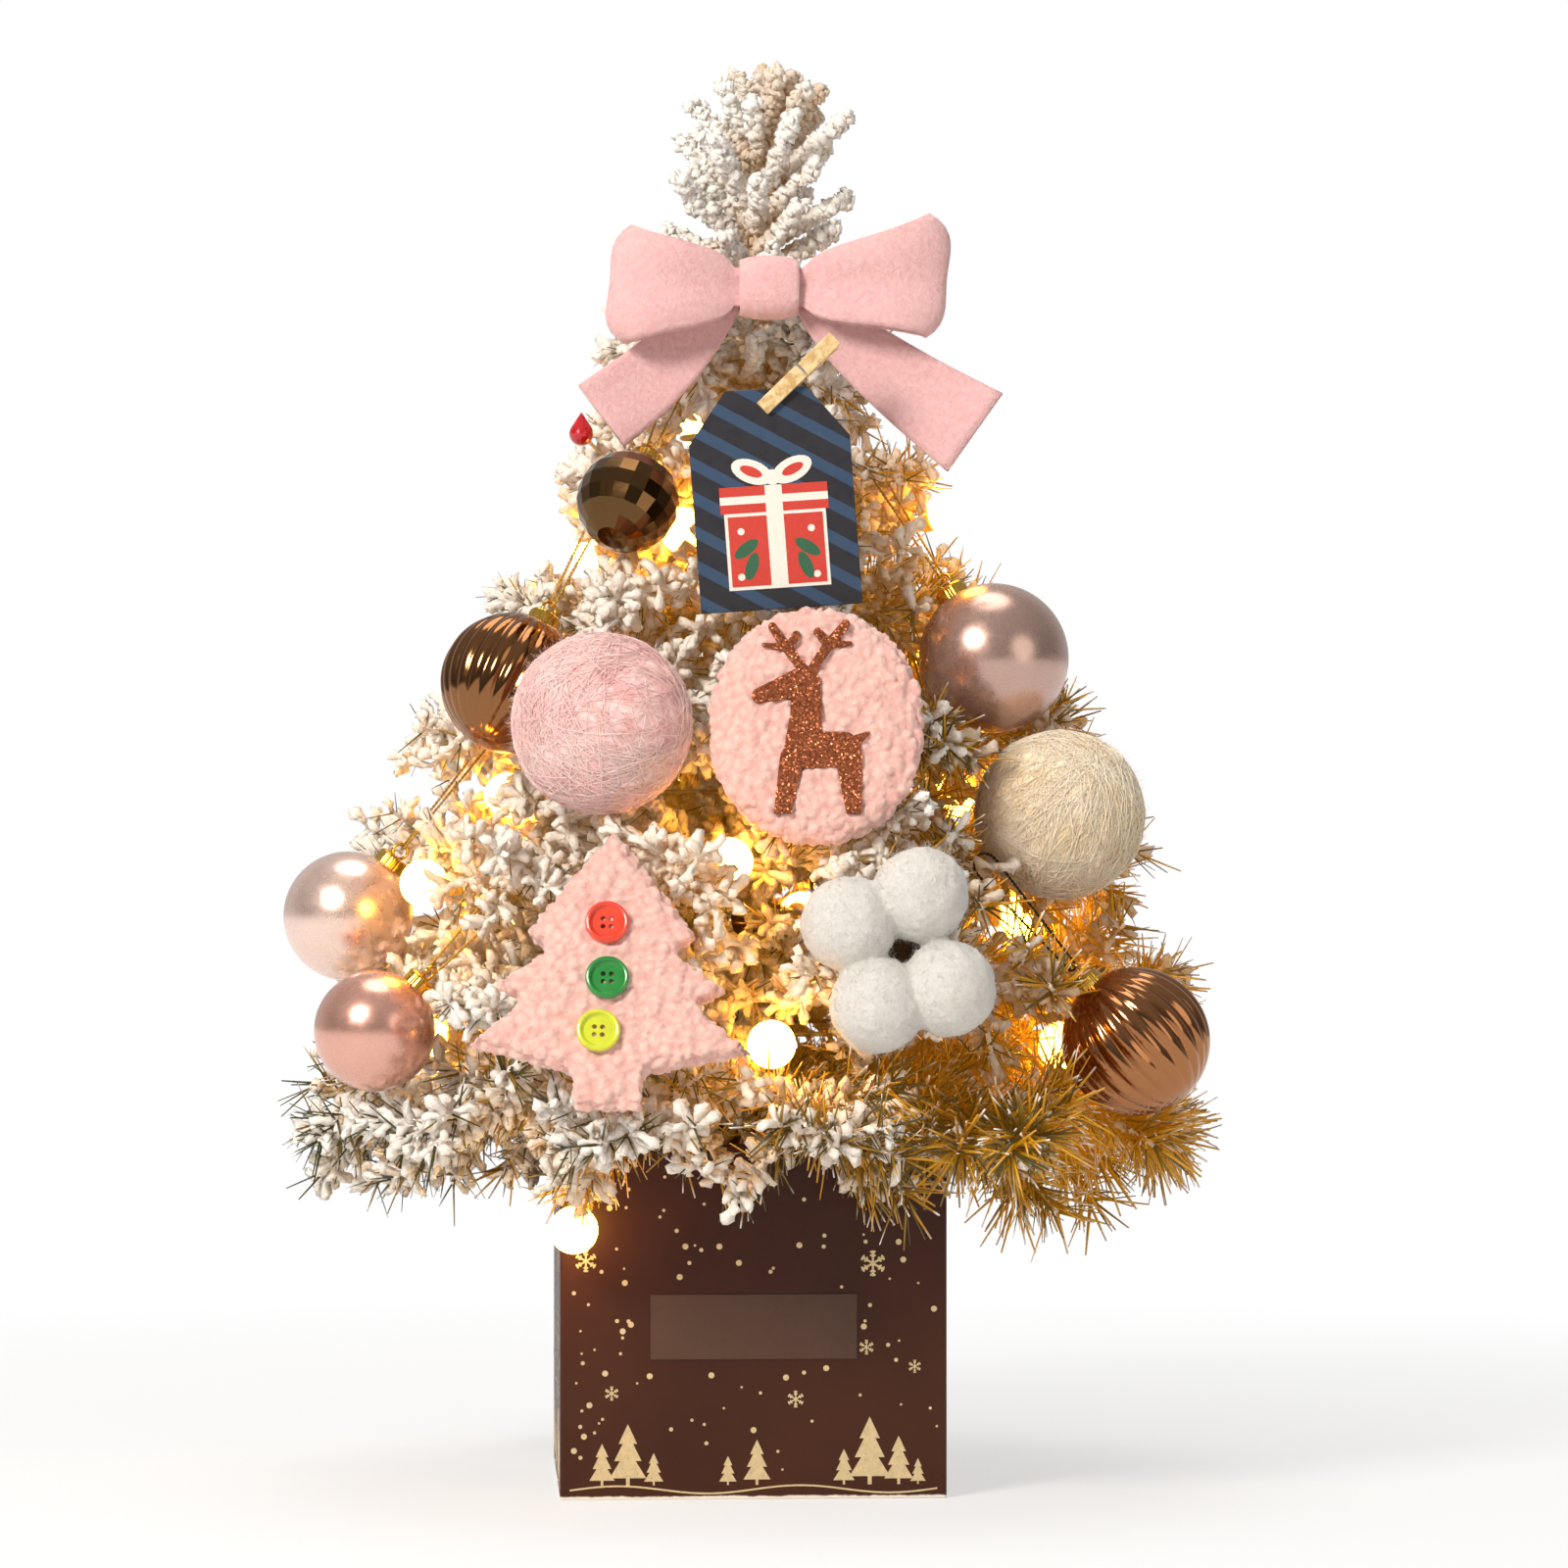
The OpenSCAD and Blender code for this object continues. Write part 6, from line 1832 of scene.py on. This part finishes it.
class TREE_OT_baubles(bpy.types.Operator):
    """Six hung baubles, each a ball, a fluted cap and a twisted cord"""
    bl_idname = "tree.baubles"
    bl_label = "Baubles"

    def execute(self, context):
        coat(self.chrome("faceted bronze", ink("bronze"), 0.12), "faceted_ball")
        for side, metal, colour, roughness in (
                ("left", "bronze", "brown_chrome", 0.13), ("right", "copper", "copper_chrome", 0.12)):
            mat = self.chrome("ribbed " + metal, ink(colour), roughness)
            self.ribbed("ribbed_" + side, mat, "ribbed_" + metal)
        for bauble, label, colour, roughness in (
                ("pearl_right", "pearl taupe", "taupe", 0.27),
                ("pearl_left", "pearl pale", "blush", 0.28),
                ("satin", "satin rose", "rose", 0.26)):
            mat = self.pearl(label, ink(colour), roughness)
            self.shell(bauble, mat, label.replace(" ", "_"), rounds=60, sides=96)
        gold = self.chrome("gold cap", ink("gold"), 0.2)
        for bauble in BAUBLES:
            self.cap(bauble, gold)
            self.cord(bauble)
        return {"FINISHED"}

    def chrome(self, name, colour, roughness):
        """Bright plated plastic with faint smears and dust."""
        f = Finish(name, colour, Metallic=1.0)
        smear = f.noise(120, 4, 0.6, twist=0.8)
        f.set("Roughness", f.spread(smear, 0.35, 0.75, roughness * 0.7, roughness * 1.7))
        dust = f.spread(f.noise(2600, 2), 0.66, 0.74, 0, 0.35)
        f.paint(dust, colour, toned(colour, 1.5, 0.05))
        return f.bump(f.noise(700, 3), 0.12, 0.05).material

    def pearl(self, name, colour, roughness):
        """Pearl lacquer: metal flake under a clear coat."""
        f = Finish(name, colour, Metallic=0.8, Coat_Weight=0.3, Coat_Roughness=0.15)
        cloud = f.spread(f.noise(60, 3), 0.3, 0.7)
        tone = f.mix(cloud, toned(colour, 0.94), toned(colour, 1.05))
        sparkle = add(f.tree, "ShaderNodeSeparateXYZ", {0: f.cells(5200, "Color")}).outputs["X"]
        f.paint(f.spread(sparkle, 0.7, 1.0, 0, 0.25), tone, toned(colour, 1.35))
        f.gloss(300, roughness * 0.85, roughness * 1.15)
        return f.bump(f.noise(3400, 2), 0.15, 0.03).material

    def shell(self, bauble, material, slot, rounds, sides, wave=None):
        """A ball with its neck, hung under its hook."""
        r = BAUBLES[bauble][1]
        profile = [(r * math.sin(a), -r * math.cos(a))
                   for a in np.radians(np.linspace(1.5, 168, rounds))]
        rings = lathe(profile, sides, wave)
        rings += lathe([(4.2, profile[-1][1] + 0.4), (4.0, r + 1.2), (3.6, r + 1.5)], sides)
        matrix, drop_len = hung(bauble)
        points, faces = loft(rings)
        points = through(matrix, points + np.array((0, 0, -drop_len)))
        piece = made(bauble + "_shell", (points, faces), material)
        seat(piece, bauble + "_bauble", (bauble + "_ball",))

    def ribbed(self, bauble, material, slot):
        r = BAUBLES[bauble][1]

        def wave(turn, z):
            level = math.sqrt(max(0, 1 - (z / r) ** 2))
            return 1 - 0.055 * (1 - np.abs(np.cos(turn * RIBS / 2))) * level

        self.shell(bauble, material, slot, rounds=56, sides=RIBS * 8, wave=wave)

    def cap(self, bauble, material):
        matrix, drop_len = hung(bauble)
        radius = BAUBLES[bauble][1]
        r = size("cap")
        low = -drop_len + radius - CAP_SUNK
        top = -drop_len + radius + CAP_RISE

        def flutes(turn, z):
            share = 1 if z < top - 1 else 0.3
            return 1 - 0.035 * share * (0.5 - 0.5 * np.cos(turn * FLUTES))

        profile = [(r - 0.35, low), (r, low), (r, low + 0.4), (r, top - 1.1), (r - 0.15, top - 0.6),
                   (r - 0.5, top - 0.2), (r - 1.1, top), (0.9, top + 0.05)]
        collar = loft(lathe(profile, FLUTES * 6, flutes))
        eye = []
        for a in np.linspace(0, math.tau, 28, False):
            out = np.array((0, math.cos(a), math.sin(a)))
            c = np.array((0, 0, top + 2.1)) + EYE_RING * out
            eye.append([c + EYE_WIRE * (math.cos(q) * out + math.sin(q) * np.array((1, 0, 0)))
                        for q in np.linspace(0, math.tau, 10, False)])
        points, faces = merged([collar, loft(eye, closed=True)])
        piece = made(bauble + "_collar", (through(matrix, points), faces), material)
        seat(piece, bauble + "_bauble", (bauble + "_cap",))

    def cord(self, bauble):
        """Two strands twisted round a loop from the branch to the cap's eye."""
        matrix, drop_len = hung(bauble)
        top_z = -(LOOP_TOP - size("cord") - 2 * BRANCH_WIRE - 0.9)
        foot_z = -drop_len + BAUBLES[bauble][1] + CAP_RISE + 2 * EYE_RING - 0.3
        swing = math.asin((LOOP_TOP - LOOP_FOOT) / (top_z - foot_z))
        path = [np.array((r * math.cos(a), 0, z + r * math.sin(a))) for r, z, turns in (
            (LOOP_TOP, top_z, np.linspace(-swing, math.pi + swing, 28)),
            (LOOP_FOOT, foot_z, np.linspace(math.pi + swing, math.tau - swing, 16))) for a in turns]
        ring = np.array(path + path[:1])
        place = np.concatenate(([0], np.cumsum(np.linalg.norm(np.diff(ring, axis=0), axis=1))))
        fine = np.linspace(0, place[-1], int(place[-1] / 0.42), endpoint=False)
        line = np.stack([np.interp(fine, place, ring[:, k]) for k in range(3)], 1)
        ahead = np.roll(line, -1, 0) - np.roll(line, 1, 0)
        ahead /= np.linalg.norm(ahead, axis=1, keepdims=True)
        out = np.cross(ahead, (0, 1, 0))
        phase = fine / place[-1] * math.tau * round(place[-1] / TWIST)
        strands = []
        for shift in (0, math.pi):
            c, s = (part(phase + shift)[:, None] for part in (np.cos, np.sin))
            strands.append(through(matrix, line + 0.24 * (c * out + s * np.array((0, 1, 0)))))
        dark = bauble == "ribbed_right"
        label = "dark wire" if dark else "gold cord"
        material = bpy.data.materials.get(label)
        if material is None:
            colour = ink("hook" if dark else "thread")
            f = Finish(label, colour, Metallic=0.7, Roughness=0.38)
            f.mottle(f.noise(2200, 2), 0.35, 0.65, 0.6)
            material = f.bump(f.noise(4200, 2), 0.4, 0.04).material
        piece = tubes(bauble + "_cord", strands, 0.25, 6, material, closed=True)
        seat(piece, bauble + "_bauble", (bauble + "_loop",))


class TREE_OT_small_parts(bpy.types.Operator):
    """Trunk, berry and tie wires"""
    bl_idname = "tree.small_parts"
    bl_label = "Small parts"

    def execute(self, context):
        bark = Finish("bark", ink("bark"), Roughness=0.9)
        wrap = bark.noise(1.0, 4, at=bark.stretched((160, 160, 700)), twist=0.6)
        coat(bark.mottle(wrap, 0.35, 0.65, 0.45).bump(wrap, 0.8, 0.5).material, "trunk")
        coat(plain("berry red", ink("berry"), 0.2, 300, 0.03, 0.15, Coat_Weight=0.6), "red_berry")
        coat(plain("tie wire", ink("tie"), 0.6, 1200, 0.05), "tie_wires")
        return {"FINISHED"}


# Stage

# A lamp's name, place, width and power
LAMPS = (
    ("key", (-1.0, -1.4, 1.2), 0.6, 35),
    ("fill", (1.3, -1.4, 0.7), 1.2, 5),
    ("top", (0.0, 0.2, 1.7), 1.0, 8),
)
LAMP_TINT = (1, 0.95, 0.89)
LAMP_AIM = (0, 0, 0.22)
FLOOR_HALF, FLOOR_Z = 9000, -0.02


class TREE_OT_stage(bpy.types.Operator):
    """Pale floor, soft studio light and the camera"""
    bl_idname = "tree.stage"
    bl_label = "Stage"

    def execute(self, context):
        self.floor()
        self.world()
        for lamp in LAMPS:
            self.lamp(*lamp)
        camera = linked("camera", bpy.data.cameras.new("camera"))
        camera.data.lens = 143.77
        camera.data.sensor_width = 36
        camera.data.clip_end = 50
        camera.location = (-0.09217, -1.99791, 0.22164)
        camera.rotation_euler = (math.radians(90), 0, math.radians(-3))
        bpy.context.scene.camera = camera
        return {"FINISHED"}

    def floor(self):
        """Matte for the light, and white where the camera or a mirror sees it further off."""
        points = [(x * FLOOR_HALF, y * FLOOR_HALF, FLOOR_Z)
                  for x, y in ((-1, -1), (1, -1), (1, 1), (-1, 1))]
        material = bpy.data.materials.new("floor")
        material.use_nodes = True
        tree = material.node_tree
        tree.nodes.remove(tree.nodes["Principled BSDF"])
        tone = put(tree, "ShaderNodeTexNoise", {"Scale": 3.0})
        pale = put(tree, "ShaderNodeMapRange", {"Value": tone, "To Min": 0.86, "To Max": 0.9})
        matte = put(tree, "ShaderNodeBsdfDiffuse", {"Color": pale})
        bright = put(tree, "ShaderNodeEmission", {"Color": (*ink("floor"), 1), "Strength": 1.0})
        path = add(tree, "ShaderNodeLightPath").outputs
        seen = calc(tree, "MAXIMUM", path["Is Camera Ray"], path["Is Glossy Ray"])
        place = add(tree, "ShaderNodeTexCoord").outputs["Object"]
        far = add(tree, "ShaderNodeVectorMath", {0: place}, operation="LENGTH").outputs["Value"]
        fade = put(tree, "ShaderNodeMapRange", {
            "Value": far, "From Min": 0.15, "From Max": 0.7, "To Min": 0.6})
        share = calc(tree, "MULTIPLY", seen, fade)
        both = put(tree, "ShaderNodeMixShader", {0: share, 1: matte, 2: bright})
        tree.links.new(both, tree.nodes["Material Output"].inputs[0])
        made("floor", (points, [(0, 1, 2, 3)]), material, smooth=False)

    def world(self):
        """White to the camera; for the object's own light, pale behind it and above, dim in front."""
        world = bpy.data.worlds.new("studio")
        world.use_nodes = True
        tree = world.node_tree
        way = add(tree, "ShaderNodeTexCoord").outputs["Generated"]
        parts = add(tree, "ShaderNodeSeparateXYZ", {0: way}).outputs
        above, behind = (
            put(tree, "ShaderNodeMapRange", {
                "Value": parts[axis], "From Min": 0.0, "From Max": end, "To Min": 0.1,
                "To Max": power})
            for axis, end, power in (("Z", 0.8, 0.36), ("Y", 0.7, 0.5)))
        room = calc(tree, "MAXIMUM", above, behind)
        seen = add(tree, "ShaderNodeLightPath").outputs["Is Camera Ray"]
        power = put(tree, "ShaderNodeMix", {0: seen, 2: room, 3: 1.0})
        back = tree.nodes["Background"]
        back.inputs["Color"].default_value = (1, 1, 1, 1)
        tree.links.new(power, back.inputs["Strength"])
        bpy.context.scene.world = world
        bpy.context.scene.view_settings.view_transform = "Standard"

    def lamp(self, name, at, width, power):
        data = bpy.data.lights.new(name, "AREA")
        data.shape = "DISK"
        data.size = width
        data.energy = power
        data.color = LAMP_TINT
        obj = linked(name, data)
        obj.location = at
        obj.rotation_euler = (Vector(LAMP_AIM) - Vector(at)).to_track_quat("-Z", "Y").to_euler()


STEPS = (
    TREE_OT_stage, TREE_OT_box, TREE_OT_lights, TREE_OT_bow, TREE_OT_tag, TREE_OT_plush,
    TREE_OT_cotton, TREE_OT_fibre_balls, TREE_OT_baubles, TREE_OT_small_parts, TREE_OT_branches)


class TREE_PT_panel(bpy.types.Panel):
    """The tree's pieces in the sidebar"""
    bl_idname = "TREE_PT_panel"
    bl_label = "Flocked tree"
    bl_space_type = "VIEW_3D"
    bl_region_type = "UI"
    bl_category = "Tree"

    def draw(self, context):
        for step in STEPS:
            self.layout.operator(step.bl_idname)


CLASSES = (TreeSizes, TreeColours, *STEPS, TREE_PT_panel)


def register():
    for cls in CLASSES:
        bpy.utils.register_class(cls)
    bpy.types.Scene.tree_sizes = bpy.props.PointerProperty(type=TreeSizes)
    bpy.types.Scene.tree_colours = bpy.props.PointerProperty(type=TreeColours)


def unregister():
    del bpy.types.Scene.tree_colours
    del bpy.types.Scene.tree_sizes
    for cls in reversed(CLASSES):
        bpy.utils.unregister_class(cls)


def main():
    register()
    bpy.ops.tree.stage()
    bpy.ops.tree.box()
    bpy.ops.tree.lights()
    bpy.ops.tree.bow()
    bpy.ops.tree.tag()
    bpy.ops.tree.plush()
    bpy.ops.tree.cotton()
    bpy.ops.tree.fibre_balls()
    bpy.ops.tree.baubles()
    bpy.ops.tree.small_parts()
    bpy.ops.tree.branches()


if __name__ == "__main__":
    main()
